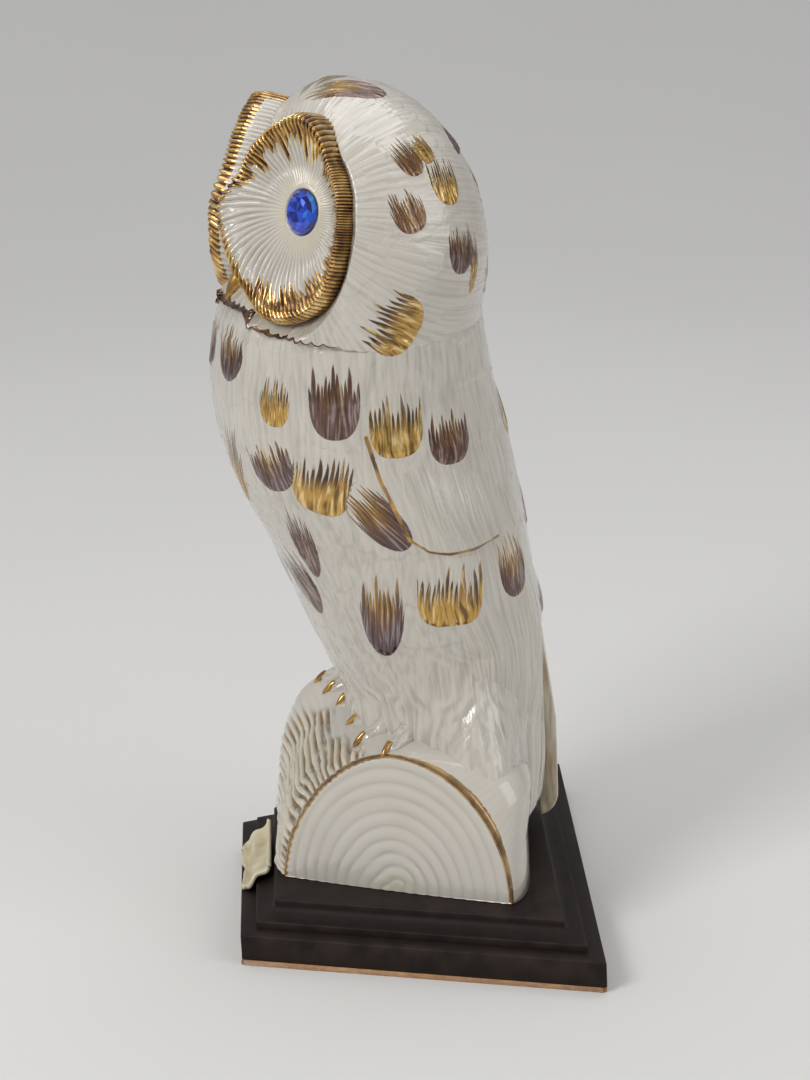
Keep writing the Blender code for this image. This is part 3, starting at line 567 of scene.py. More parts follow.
# Lower edge of the wing's coverts in the photograph, a gold line
COVERT_EDGE = [(366, 438), (380, 480), (396, 512), (410, 540), (430, 552), (450, 554), (474, 549), (498, 535)]
# Lower edge of the ruff in the photograph, from under the beak to the near cheek
RUFF_EDGE = [(249, 328), (262, 335), (285, 340), (310, 344), (335, 346), (354, 347)]


def feather(centre, normal, axis, half_length, half_width, look):
    """A painted feather's place and its own axes, in the owl's frame."""
    axis = unit(axis - normal * (axis @ normal))
    return {"centre": centre, "normal": normal, "axis": axis, "across": np.cross(normal, axis),
            "size": (half_length, half_width), "look": look}


def mirrored(item):
    """The same feather on the other side of the owl."""
    flip = np.array([-1, 1, 1])
    copy = dict(item)
    for word in ("centre", "normal", "axis", "across"):
        copy[word] = item[word] * flip
    return copy


def painted_feathers(tree):
    """All painted feathers: those of the photograph, their mirror images, and those on the back."""
    found = []
    for root, tip, width, *look in PAINTED:
        middle = ((root[0] + tip[0]) / 2, (root[1] + tip[1]) / 2)
        centre, normal = on_body(tree, middle)
        ends = [on_body(tree, pixel)[0] for pixel in (root, tip)]
        depth = (CAMERA_PLACE - centre) @ CAMERA_BACK
        across = unit(np.cross(normal, ends[1] - ends[0]))
        seen = math.hypot(across @ CAMERA_RIGHT, across @ CAMERA_UP)
        half_width = min(width / 2 * depth / FOCAL / max(seen, 0.3), 12 * MM)
        place = unplaced(centre, OWL_TURN)
        normal, axis = (np.array([*turned(v[0], v[1], -OWL_TURN), v[2]]) for v in (normal, ends[1] - ends[0]))
        half_length = np.linalg.norm(ends[1] - ends[0]) / 2
        found.append(feather(place, normal, axis, half_length, half_width, look))
    found += [mirrored(item) for item in found if item["centre"][0] > 9 * MM]
    for rows, surface in ((BACK_OF_HEAD, head_point), (BACK_OF_TORSO, lambda a, h: torso_point(a, h, 0))):
        for level, aside, length, width, tip_tone, root_tone in rows:
            for side in ((1, -1) if aside else (1,)):
                angle = np.pi / 2 - side * math.radians(aside)
                step = np.array([-1, 0, 1])
                column = surface(np.array(angle), level * MM + step * length / 2 * MM)
                row = surface(angle + step * 0.05, np.array(level * MM))
                normal = unit(np.cross(row[2] - row[0], column[2] - column[0]))
                look = (tip_tone, root_tone, 0.6, 2.4)
                axis = column[0] - column[2]
                found.append(feather(column[1], normal, axis, length / 2 * MM, width / 2 * MM, look))
    return found


def paint(points, outward, feathers):
    """For each point the place within the nearest painted feather: along it (-1 root, 1 tip), across it,
    and a value that reaches 1 at its outline; with its tones, strokes and a number of its own; and the
    relief that the feather adds. A feather's root gives way to its neighbour's tip."""
    shape = points.shape[:-1]
    mark = np.zeros(shape + (3,)) + (-2.0, 0.0, 3.0)
    tone = np.zeros(shape + (3,))
    seed = np.zeros(shape)
    best = np.full(shape, 2.5)
    for number, item in enumerate(feathers):
        tip_tone, root_tone, strokes, power = item["look"]
        away = points - item["centre"]
        u = away @ item["axis"] / item["size"][0]
        v = away @ item["across"] / item["size"][1]
        facing = (outward @ item["normal"] > 0.1) & (np.abs(away @ item["normal"]) < 9 * MM)
        inside = np.maximum(u, 0) ** power + np.abs(v) ** power + (1.3 * np.maximum(-u - 0.5, 0)) ** 2
        claim = inside + 1.1 * np.maximum(-u - 0.2, 0)
        inside = inside + 8 * np.maximum(-u - 0.9, 0)
        better = facing & (claim < best) & (u > -1)
        best[better] = claim[better]
        mark[better] = np.stack([u, v, inside], -1)[better]
        tone[better] = (tip_tone, root_tone, strokes)
        seed[better] = number + 1
    u, v, inside = np.moveaxis(mark, -1, 0)
    body = (1 - smooth(0.7, 1.08, inside)) * smooth(-1.3, 0.6, u)
    barbs = np.abs(2 * drift(v * 5 + seed * 7.3, u * 0.7 + seed, 5) - 1) - 0.5
    relief = body * (0.5 + 0.8 * barbs) * MM
    return mark, tone, seed, relief


def distance_to_line(points, line):
    """Shortest distance from each point to a chain of straight pieces."""
    best = np.full(points.shape[:-1], 1.0)
    for start, end in zip(line[:-1], line[1:]):
        span = end - start
        t = np.clip((points - start) @ span / (span @ span), 0, 1)
        best = np.minimum(best, np.linalg.norm(points - start - t[..., None] * span, axis=-1))
    return best


# Finishes


class Field:
    """A shader socket that takes part in arithmetic: each operation adds a Math node."""

    def __init__(self, finish, socket):
        self.finish = finish
        self.socket = socket

    def math(self, operation, first, second):
        return self.finish.add("ShaderNodeMath", {"operation": operation}, {0: first, 1: second})

    def __add__(self, other):
        return self.math("ADD", self, other)

    def __sub__(self, other):
        return self.math("SUBTRACT", self, other)

    def __rsub__(self, other):
        return self.math("SUBTRACT", other, self)

    def __mul__(self, other):
        return self.math("MULTIPLY", self, other)

    __radd__ = __add__
    __rmul__ = __mul__


class Finish:
    """A material: one Principled shader whose constants are set on its sockets, and the nodes that feed
    it."""

    def __init__(self, name, **constants):
        self.material = bpy.data.materials.new(name)
        self.material.use_nodes = True
        self.tree = self.material.node_tree
        self.shader = self.tree.nodes["Principled BSDF"]
        for word, value in constants.items():
            self.shader.inputs[word.replace("_", " ").title().replace("Ior", "IOR")].default_value = value

    def add(self, kind, settings, inputs, output=0):
        """A node of a kind: its settings first, then the values or links of its sockets."""
        node = self.tree.nodes.new(kind)
        for word, value in settings.items():
            if word == "stops":
                ramp = node.color_ramp.elements
                for _ in range(len(value) - 2):
                    ramp.new(0.5)
                for stop, (place, colour) in zip(ramp, value):
                    stop.position = place
                    stop.color = (*colour, 1)
            else:
                setattr(node, word, value)
        for socket, value in inputs.items():
            self.put(node.inputs[socket], value)
        return Field(self, node.outputs[output])

    def put(self, socket, value):
        if isinstance(value, Field):
            self.tree.links.new(value.socket, socket)
        elif isinstance(value, tuple) and len(value) == 3 and socket.type == "RGBA":
            socket.default_value = (*value, 1)
        else:
            socket.default_value = value

    def number(self, name):
        return self.add("ShaderNodeAttribute", {"attribute_name": name}, {}, "Fac")

    def triple(self, name):
        vector = self.add("ShaderNodeAttribute", {"attribute_name": name}, {}, "Vector")
        node = self.add("ShaderNodeSeparateXYZ", {}, {0: vector}).socket.node
        return [Field(self, socket) for socket in node.outputs]

    def place(self):
        return self.add("ShaderNodeTexCoord", {}, {}, "Object")

    def stretched(self, vector, scale):
        return self.add("ShaderNodeVectorMath", {"operation": "MULTIPLY"}, {0: vector, 1: scale})

    def vector(self, x, y, z):
        return self.add("ShaderNodeCombineXYZ", {}, {0: x, 1: y, 2: z})

    def noise(self, vector, scale, detail=2.0):
        return self.add("ShaderNodeTexNoise", {}, {"Vector": vector, "Scale": scale, "Detail": detail}, "Fac")

    def ease(self, low, high, value):
        return self.add("ShaderNodeMapRange", {"interpolation_type": "SMOOTHSTEP"},
                        {"Value": value, "From Min": low, "From Max": high})

    def mix(self, share, first, second):
        return self.add("ShaderNodeMix", {"data_type": "RGBA"}, {0: share, 6: first, 7: second}, 2)

    def ramp(self, share, *stops):
        return self.add("ShaderNodeValToRGB", {"stops": stops}, {0: share})

    def bump(self, height, distance, strength=1.0):
        return self.add("ShaderNodeBump", {}, {"Height": height, "Distance": distance, "Strength": strength})

    def feed(self, **links):
        for word, value in links.items():
            self.put(self.shader.inputs[word.replace("_", " ").title()], value)
        return self.material


PORCELAIN = (0.622, 0.580, 0.512)
PORCELAIN_SHADE = (0.415, 0.385, 0.33)
PLUM = (0.088, 0.048, 0.053)
BRONZE = (0.275, 0.130, 0.043)
GOLD = (0.60, 0.355, 0.080)
UMBER = (0.040, 0.019, 0.011)
CREAM = (0.74, 0.66, 0.47)
GLAZE = {"coat_weight": 0.6, "coat_roughness": 0.05}


def glaze(finish, groove):
    """White glaze, a little uneven, and greyer in the grooves, partly where it pools and partly as painted
    shade.
    """
    patch = finish.noise(finish.place(), 55.0, 3.0)
    # Greyer in the grooves: glaze pooling and painted shade together, with faint random patches too.
    groove_shade_and_pooling = finish.ease(0.3, -0.8, groove) * 0.7 + finish.ease(0.42, 0.75, patch) * 0.12
    return finish.mix(groove_shade_and_pooling, PORCELAIN, PORCELAIN_SHADE)


def feather_finish(name, banded):
    """White glaze with fine combed lines and painted feathers. The comb field gives a place across the
    lines (two numbers, so that it can run round a ring) and along them; banded lines start anew every few
    millimetres. A painted feather has thin strokes that start at their own places near the root, a crisp
    rounded tip, and a tone that changes along it, last along its middle; its lustre is partly metallic,
    darker where its barbs sink, and paler on its raised barbs as a painted highlight. The glaze is greyer
    in its grooves, partly as painted shade. A line is drawn where the line field is small: gold, or dark
    on banded finishes."""
    finish = Finish(name, **GLAZE)
    along, across, inside = finish.triple("mark")
    tip_tone, root_tone, strokes = finish.triple("tone")
    ring_x, ring_y, length = finish.triple("comb")
    seed = finish.number("seed")
    line = finish.number("line")
    patch = finish.noise(finish.place(), 60.0, 1.0)
    if banded:
        band = (length * 0.05).math("FLOOR", length * 0.05 + patch * 1.8, 0.0)
        reach = band * 20.0 + 2.0
        comb = finish.vector(ring_x * reach, ring_y * reach, length * 0.06 + band * 5.0)
    else:
        comb = finish.vector(ring_x, ring_y, length * 0.06)
    hair = finish.noise(comb, 0.62, 1.0)
    groove = finish.number("groove") * 0.4 + (hair - 0.5) * 1.7
    grain = finish.noise(finish.place(), 900.0, 2.0)
    sway = finish.noise(finish.vector(across * 1.1, along * 0.8, seed * 2.7), 1.0, 1.0)
    barb = finish.noise(finish.vector(across * 9.0 + sway * 4.0, along * 1.3, seed * 3.1), 1.0, 2.0)
    phase = across * 6.0 + seed * 7.3 + sway * 2.2
    number = phase.math("FLOOR", phase, 0.0)
    saw = (phase - number) * 2.0 - 1.0
    gap = saw.math("ABSOLUTE", saw, 0.0)
    own = finish.add("ShaderNodeTexWhiteNoise", {"noise_dimensions": "1D"},
                     {"W": number + seed * 31.7}, "Value")
    start = own * 0.65 + across * across * 0.2 + gap * gap * (strokes * 0.6 + 0.1) - 0.97
    painted = finish.ease(0.0, 0.14, along - start + (barb - 0.5) * 0.35)
    painted = painted * finish.ease(1.03, 0.97, inside + (grain - 0.5) * 0.1)
    course = finish.ease(-0.6, 0.6, along + across * across * 0.6 - 0.15 + (barb - 0.5) * 0.5)
    tone = root_tone + (tip_tone - root_tone) * course + (own - 0.5) * 0.3 * (1.25 - course)
    lustre = finish.ramp(tone, (0.0, PLUM), (0.42, BRONZE), (0.9, GOLD))
    dark = finish.ease(0.95, 0.5, gap) * strokes
    dark = dark * finish.ease(0.55, -0.25, along) * finish.ease(0.05, 0.3, own)
    lustre = finish.mix(dark * 0.9, lustre, UMBER)
    lustre = finish.mix(finish.ease(0.5, 0.34, barb) * 0.75, lustre, UMBER)
    # Paler streaks on the raised barbs: a painted highlight, lilac-silver on plum and pale gold on gold.
    painted_highlight = finish.ramp(tone, (0.1, (0.36, 0.28, 0.30)), (0.6, (0.98, 0.74, 0.36)))
    lustre = finish.mix(finish.ease(0.53, 0.66, barb) * 0.75, lustre, painted_highlight)
    if banded:
        drawn = finish.ease(0.6, 0.35, line + (grain - 0.5) * 0.3)
        hue = finish.ramp(finish.noise(finish.place(), 300.0), (0.4, UMBER), (0.68, BRONZE))
    else:
        drawn = finish.ease(0.85, 0.55, line + (grain - 0.5) * 0.35)
        hue = finish.ramp(finish.noise(finish.place(), 160.0), (0.35, (0.2, 0.11, 0.05)), (0.65, GOLD))
    colour = finish.mix(painted, glaze(finish, groove), lustre)
    colour = finish.mix(drawn, colour, hue)
    metal = painted.math("MAXIMUM", painted, drawn)
    height = hair * (1.0 - painted) + barb * painted * 1.6 + finish.noise(finish.place(), 700.0) * 0.1
    return finish.feed(base_color=colour, metallic=metal * (tone * 0.35 + 0.45),
                       roughness=0.12 + metal * 0.05, normal=finish.bump(height, 0.4 * MM, 0.75))


def disc_finish():
    """White fluted bowl, cream near the stone, with a gold rim: brown and dark in its grooves as painted
    shade, and palest in blotches that lean to the crests as a painted highlight.
    """
    finish = Finish("gilt_disc", **GLAZE)
    gilt = finish.number("gilt")
    groove = finish.number("groove")
    bowl = finish.number("bowl")
    grain = finish.noise(finish.place(), 600.0)
    blotch = finish.noise(finish.place(), 170.0, 3.0)
    colour = finish.mix(finish.ease(0.3, 0.0, bowl) * 0.4, glaze(finish, groove * 0.8), CREAM)
    # Rim gold: darker in the flute grooves as painted shade, and its palest stop is a painted highlight.
    gold = finish.ramp(groove * 0.4 + blotch * 1.5 - 0.3, (0.1, UMBER), (0.38, BRONZE), (0.66, GOLD),
                       (0.92, (0.95, 0.74, 0.38)))
    painted = finish.ease(-0.12, 0.12, gilt + (grain - 0.5) * 0.5)
    colour = finish.mix(painted, colour, gold)
    return finish.feed(base_color=colour, metallic=painted * 0.8, roughness=0.12 + painted * 0.08,
                       normal=finish.bump(grain * 0.4 + blotch, 0.25 * MM, 0.5))


def bark_finish():
    """White glaze over bark: tan and brown brushed into the front grooves, a gold line round each sawn
    end and a greenish cream tint at the heart of the rings."""
    finish = Finish("bark_porcelain", **GLAZE)
    groove = finish.number("groove")
    edge = finish.number("edge")
    front = finish.number("front")
    heart = finish.number("heart")
    place = finish.place()
    grain = finish.noise(place, 500.0)
    streak = finish.noise(finish.stretched(place, (0.2, 1, 1)), 190.0, 3.0)
    colour = glaze(finish, groove)
    brushed = finish.ease(0.1, 0.6, front) * finish.ease(0.55, -0.25, groove)
    brushed = brushed * finish.ease(0.28, 0.48, streak)
    tan = finish.ramp(streak, (0.42, (0.16, 0.09, 0.04)), (0.66, (0.40, 0.27, 0.13)))
    colour = finish.mix(finish.ease(0.2, 0.9, front) * 0.4, colour, CREAM)
    colour = finish.mix(brushed, colour, tan)
    colour = finish.mix(finish.ease(0.24, 0.02, heart) * 0.42, colour, (0.62, 0.61, 0.38))
    line = finish.ease(1.1, 0.85, edge + (grain - 0.5) * 0.6)
    gold = finish.ramp(finish.noise(place, 140.0), (0.35, (0.24, 0.13, 0.055)), (0.62, (0.56, 0.37, 0.15)))
    colour = finish.mix(line, colour, gold)
    return finish.feed(base_color=colour, metallic=line * 0.5, roughness=0.13 + line * 0.12,
                       normal=finish.bump(finish.noise(place, 420.0), 0.12 * MM, 0.4))


def tail_finish():
    """Cream glaze with tan brushed along the grooves."""
    finish = Finish("tail_porcelain", **GLAZE)
    groove = finish.number("groove")
    place = finish.place()
    streak = finish.noise(finish.stretched(place, (1, 1, 0.12)), 330.0, 3.0)
    colour = finish.mix(0.45, glaze(finish, groove), CREAM)
    brushed = finish.ease(0.2, -0.6, groove) * finish.ease(0.38, 0.62, streak)
    colour = finish.mix(brushed * 0.8, colour, (0.33, 0.205, 0.10))
    return finish.feed(base_color=colour, roughness=0.16, normal=finish.bump(streak, 0.15 * MM, 0.5))


def foot_finish():
    """White glazed toes with gold claws."""
    finish = Finish("gilt_toes", **GLAZE)
    gilt = finish.number("gilt")
    blotch = finish.noise(finish.place(), 260.0)
    gold = finish.ramp(blotch, (0.3, BRONZE), (0.6, GOLD))
    painted = finish.ease(0.3, 0.6, gilt)
    colour = finish.mix(painted, glaze(finish, finish.number("groove")), gold)
    return finish.feed(base_color=colour, metallic=painted * 0.7, roughness=0.13 + painted * 0.1,
                       normal=finish.bump(blotch, 0.1 * MM, 0.3))


def gold_finish():
    """Bright gold lustre, browner in patches."""
    finish = Finish("gold_lustre_glaze", **GLAZE)
    blotch = finish.noise(finish.place(), 220.0, 3.0)
    colour = finish.ramp(blotch, (0.3, BRONZE), (0.6, GOLD))
    return finish.feed(base_color=colour, metallic=0.5 + blotch * 0.5, roughness=0.14 + blotch * 0.14,
                       normal=finish.bump(blotch, 0.1 * MM, 0.3))


def stone_finish():
    """Foil-backed blue glass: each facet gets its own random tone from deep blue to pale cyan, painted glints
    that stand for the light it throws back.
    """
    finish = Finish("cut_blue_glass", coat_weight=1.0, coat_roughness=0.01, specular_ior_level=0.8)
    facet = finish.number("facet")
    depth = finish.noise(finish.place(), 420.0, 2.0)
    # Per-facet tone: painted reflections, with pale cyan glints on some facets.
    colour = finish.ramp(facet * 0.75 + depth * 0.3, (0.15, (0.0, 0.006, 0.12)), (0.5, (0.003, 0.03, 0.52)),
                         (0.8, (0.01, 0.12, 0.85)), (0.98, (0.10, 0.45, 0.95)))
    return finish.feed(base_color=colour, metallic=0.25 + depth * 0.3, roughness=0.04 + depth * 0.06)


def wood_finish(name, dark, light, worn, scale, gloss):
    """Stained wood: fine grain stretched along X, pores as bumps, paler where the wear field is high."""
    finish = Finish(name, specular_ior_level=0.22)
    place = finish.place()
    grain = finish.noise(finish.stretched(place, (0.06, 1, 1)), scale, 4.0)
    pore = finish.noise(finish.stretched(place, (0.08, 1, 1)), scale * 4, 2.0)
    rub = finish.noise(place, 90.0, 3.0)
    colour = finish.ramp(grain, (0.35, dark), (0.7, light))
    colour = finish.mix(finish.number("wear") * finish.ease(0.35, 0.65, rub) * 0.55, colour, worn)
    return finish.feed(base_color=colour, roughness=gloss + rub * 0.18,
                       normal=finish.bump(pore * 0.6 + grain * 0.4, 0.12 * MM, 0.5))


def parchment_finish():
    """Satin cream leaf, mottled, and paler towards its edge."""
    finish = Finish("parchment_glaze", coat_weight=0.2, coat_roughness=0.2)
    rim = finish.number("rim")
    mottle = finish.noise(finish.place(), 170.0, 4.0)
    colour = finish.ramp(mottle, (0.3, (0.44, 0.36, 0.215)), (0.7, (0.66, 0.59, 0.40)))
    colour = finish.mix(finish.ease(0.65, 1.0, rim) * 0.6, colour, (0.74, 0.69, 0.52))
    return finish.feed(base_color=colour, roughness=0.32 + mottle * 0.2,
                       normal=finish.bump(mottle, 0.2 * MM, 0.5))


def felt_finish():
    """Pressed tan felt: matt, with a fibrous nap."""
    finish = Finish("pressed_felt", sheen_weight=0.4, sheen_roughness=0.6)
    place = finish.place()
    fibre = finish.noise(finish.stretched(place, (1, 0.4, 1)), 900.0, 4.0)
    blotch = finish.noise(place, 60.0, 3.0)
    colour = finish.ramp(fibre * 0.5 + blotch * 0.5, (0.3, (0.26, 0.125, 0.05)), (0.7, (0.56, 0.31, 0.15)))
    return finish.feed(base_color=colour, roughness=0.9 + blotch * 0.1,
                       normal=finish.bump(fibre, 0.3 * MM, 0.8))


def steel_finish():
    """Zinc-plated steel, faintly clouded."""
    finish = Finish("zinc_plated_steel_fine")
    cloud = finish.noise(finish.place(), 300.0, 3.0)
    colour = finish.ramp(cloud, (0.3, (0.42, 0.42, 0.41)), (0.7, (0.62, 0.62, 0.60)))
    return finish.feed(base_color=colour, metallic=0.85 + cloud * 0.15, roughness=0.28 + cloud * 0.2,
                       normal=finish.bump(cloud, 0.05 * MM, 0.4))


# Pieces


def collapsed(row, centre):
    """A row of points drawn together at one place, which closes a grid."""
    return np.broadcast_to(np.asarray(centre, float), row.shape)[None]


def capped(rings, low, high):
    """Rings between two poles."""
    return np.concatenate([collapsed(rings[0], low), rings, collapsed(rings[0], high)])


def closing(values):
    """A field of a grid repeated on the rows added to close it."""
    return np.concatenate([values[:1], values[:1], values, values[-1:]])


def make_torso(feathers, covert, finish):
    """The torso's levels, combed in long upright strokes over rows of soft feather tips; the strokes turn
    to curls near the foot. The painted feathers stand a little proud. Its foot is let into the log and
    its neck goes up inside the ruff."""
    columns = 440
    angle = (np.arange(columns) * 2 * np.pi / columns)[None, :]
    inside_head_levels = NECK[0] + np.linspace(0, 15 * MM, 17)[1:]
    height = np.concatenate([np.linspace(0, NECK[0], 204), inside_head_levels])[:, None]
    points = plumage_point(angle, height)
    outward = normals(points, True)
    around = angle / (2 * np.pi) + 0 * height
    groove = combed(around * 144, height / (14 * MM) + 0 * angle, 11, 144)
    curl = 3.0 * drift(around * 24, height / (9 * MM) + 0 * angle, 17, 24)
    fluff = 1 - smooth(14 * MM, 48 * MM, height)
    groove = groove + fluff * 0.7 * np.sin(around * 200 + 5 * curl)
    tips = lobes(around * 24, -height / (17 * MM) + 0.5 * drift(around * 18, height / (20 * MM), 19, 18))
    mark, tone, seed, relief = paint(points, outward, feathers)
    quiet = 1 - 0.8 * (1 - smooth(0.8, 1.1, mark[..., 2]))
    sunk = 1 - smooth(NECK[0] - 2 * MM, NECK[0], height)
    relief = relief + ((0.2 + 0.16 * fluff) * groove + 0.35 * tips * (1 - fluff) * sunk) * MM * quiet
    shape = points + outward * relief[..., None]
    foot = shape[:1] - np.array([0, 0, 3 * MM])
    shape = np.concatenate([collapsed(shape[0], foot.mean((0, 1))), foot, shape,
                            collapsed(shape[0], shape[-1].mean(0))])
    line = distance_to_line(points, covert) / MM
    swirl = (drift(around * 24, height / (18 * MM), 13, 24) - 0.5) * (2.5 + 2.5 * fluff)
    comb = points / MM + swirl[..., None] * np.array([1, 1, 0])
    make_piece("torso_plumage", [(placed(shape, OWL_TURN), True)], finish, "white_porcelain", ["torso"],
               mark=[closing(mark)], tone=[closing(tone)], seed=[closing(seed)], comb=[closing(comb)],
               groove=[closing(groove * quiet)], line=[closing(line)])


def ruff_edge(angle, ruff):
    """Level of the ruff's scalloped lower edge: in front it follows the photograph's line, the same on
    both sides, with a notch under the beak, and behind it lies on the neck seam; and how far it stands
    out, which is nothing behind."""
    bearing = np.mod(np.arctan2(ruff[:, 1] - NECK[1], ruff[:, 0]), 2 * np.pi)
    level = ruff[:, 2] - NECK_RISE
    order = np.argsort(bearing)
    near = 1.5 * np.pi + np.abs(angle - 1.5 * np.pi)
    front = smooth(0.05, 0.45, -np.sin(angle))
    scallop = np.abs(np.sin(near * 34 + 0.7 * np.sin(near * 9))) ** 0.6
    notch = 1 - smooth(0.34, 0.42, np.abs(angle - 1.5 * np.pi))
    seen = np.interp(near, bearing[order], level[order])
    seen = seen + (11 * MM - seen) * notch
    return -0.6 * MM + front * (seen - 1.3 * MM * scallop + 1.2 * MM), front


def make_head(feathers, ruff, finish):
    """A dome with seats for the discs, combed in bands of strokes that run out from each eye over rows of
    soft feather tips, above a scalloped ruff."""
    low, high, columns = 78, 138, 440
    angle = (np.arange(columns) * 2 * np.pi / columns)[None, :]
    edge, front = ruff_edge(angle, ruff)
    share = np.linspace(0, 1, low)[:-1, None]
    lower = edge + (HEAD_WIDEST - edge) * share
    rise = np.sin(np.linspace(0, np.pi / 2, high))[:-1, None]
    upper = HEAD_WIDEST + (HEAD_HEIGHT - HEAD_WIDEST) * rise + 0 * angle
    height = np.concatenate([lower, upper])
    points = banked(head_point(angle, np.maximum(height, 0)))
    points[..., 2] += np.minimum(height, 0)
    outward = normals(points, True)
    eye, _, sideways, upward = disc_frame(1)
    away = np.stack([np.abs(points[..., 0]), points[..., 1], points[..., 2]], -1) - eye
    bearing = np.arctan2(away @ upward, away @ sideways)
    reach = np.linalg.norm(away, axis=-1) / MM
    band = np.floor(reach / 13 + 1.6 * drift(bearing * 5, reach / 20, 21))
    groove = combed(bearing * (band * 13 + 6) / 2.1, reach / 14 + 3.7 * band, 23)
    tips = lobes(bearing * (np.floor(reach / 17) * 17 + 8) / 13, reach / 17)
    mark, tone, seed, relief = paint(points, outward, feathers)
    quiet = 1 - 0.8 * (1 - smooth(0.8, 1.1, mark[..., 2]))
    lip = front * 0.8 * MM * (1 - smooth(0, 6 * MM, height - edge))
    calm = smooth(26, 38, reach)
    relief = relief + (0.18 * groove + 0.35 * tips * calm) * MM * quiet + lip
    shape = points + outward * relief[..., None]
    tucked = torso_point(angle, NECK[0] + edge, -1.5 * MM)
    shape = np.concatenate([collapsed(tucked[0], tucked.mean((0, 1))), tucked, shape,
                            collapsed(tucked[0], shape[-1].mean(0) + np.array([0, 0, 0.05 * MM]))])
    gilded = smooth(0.25, 0.4, -np.sin(angle))
    slope = np.gradient(edge, axis=1) / (NECK[2] * 2 * np.pi / columns)
    line = (height - edge) / MM / np.hypot(1, slope) + 8 * (1 - gilded)
    comb = np.stack([np.cos(bearing), np.sin(bearing), reach], -1)
    make_piece("head_plumage", [(placed(shape, OWL_TURN), True)], finish, "white_porcelain", ["head"],
               mark=[closing(mark)], tone=[closing(tone)], seed=[closing(seed)], comb=[closing(comb)],
               groove=[closing(groove * quiet)], line=[closing(line)])


# Outline of the near facial disc in the photograph
DISC_OUTLINE = [
    (304, 112), (318, 120), (328, 136), (335, 160), (343, 180), (346, 212), (345, 240), (342, 260),
    (336, 284), (320, 311), (302, 322), (282, 324), (265, 319), (250, 292), (236, 270), (227, 240),
    (220, 206), (230, 190),
    (245, 171), (256, 146), (274, 128), (290, 116),
]
# Share of the way out from the stone at which the gold starts, every eighth of a turn from the outer side
GOLD_START = (0.62, 0.52, 0.50, 0.62, 0.90, 0.86, 0.56, 0.52)


def disc_reach(angle):
    """The disc's reach from the eye at each angle: the outline's pixels carried along their sight lines
    to the rim's plane, joined up and smoothed."""
    eye, outward, sideways, upward = disc_frame(1)
    start = unplaced(CAMERA_PLACE, OWL_TURN)
    found = []
    for pixel in DISC_OUTLINE:
        line = sight_line(pixel)
        line = np.array([*turned(line[0], line[1], -OWL_TURN), line[2]])
        far = ((eye - start) @ outward + DISC_RIM * 0.5 - DISC_SEAT) / (line @ outward)
        away = start + line * far - eye
        found.append((math.atan2(away @ upward, away @ sideways), math.hypot(away @ upward, away @ sideways)))
    bearing, reach = np.array(sorted(found)).T
    fine = np.linspace(0, 2 * np.pi, 720, endpoint=False)
    joined = np.interp(fine, bearing, reach, period=2 * np.pi)
    spread = np.exp(-(np.minimum(np.arange(720), 720 - np.arange(720)) / 9.0) ** 2)
    softened = np.fft.irfft(np.fft.rfft(joined) * np.fft.rfft(spread / spread.sum()), 720)
    return np.interp(angle, fine, softened, period=2 * np.pi)


def inside_head(points):
    """Whether points lie within the head's dome."""
    height = points[..., 2] - NECK_RISE
    angle = np.arctan2(points[..., 1] - HEAD_CENTRE, points[..., 0])
    level = np.clip(height, 0, HEAD_HEIGHT * 0.999)[:, None]
    limit = head_point(np.linspace(-np.pi, np.pi, 181)[None, :], level)
    far = np.hypot(limit[..., 0], limit[..., 1] - HEAD_CENTRE)
    turn = np.arctan2(limit[..., 1] - HEAD_CENTRE, limit[..., 0])
    bound = np.array([np.interp(a, np.sort(t), f[np.argsort(t)]) for a, t, f in zip(angle, turn, far)])
    return np.hypot(points[..., 0], points[..., 1] - HEAD_CENTRE) < bound


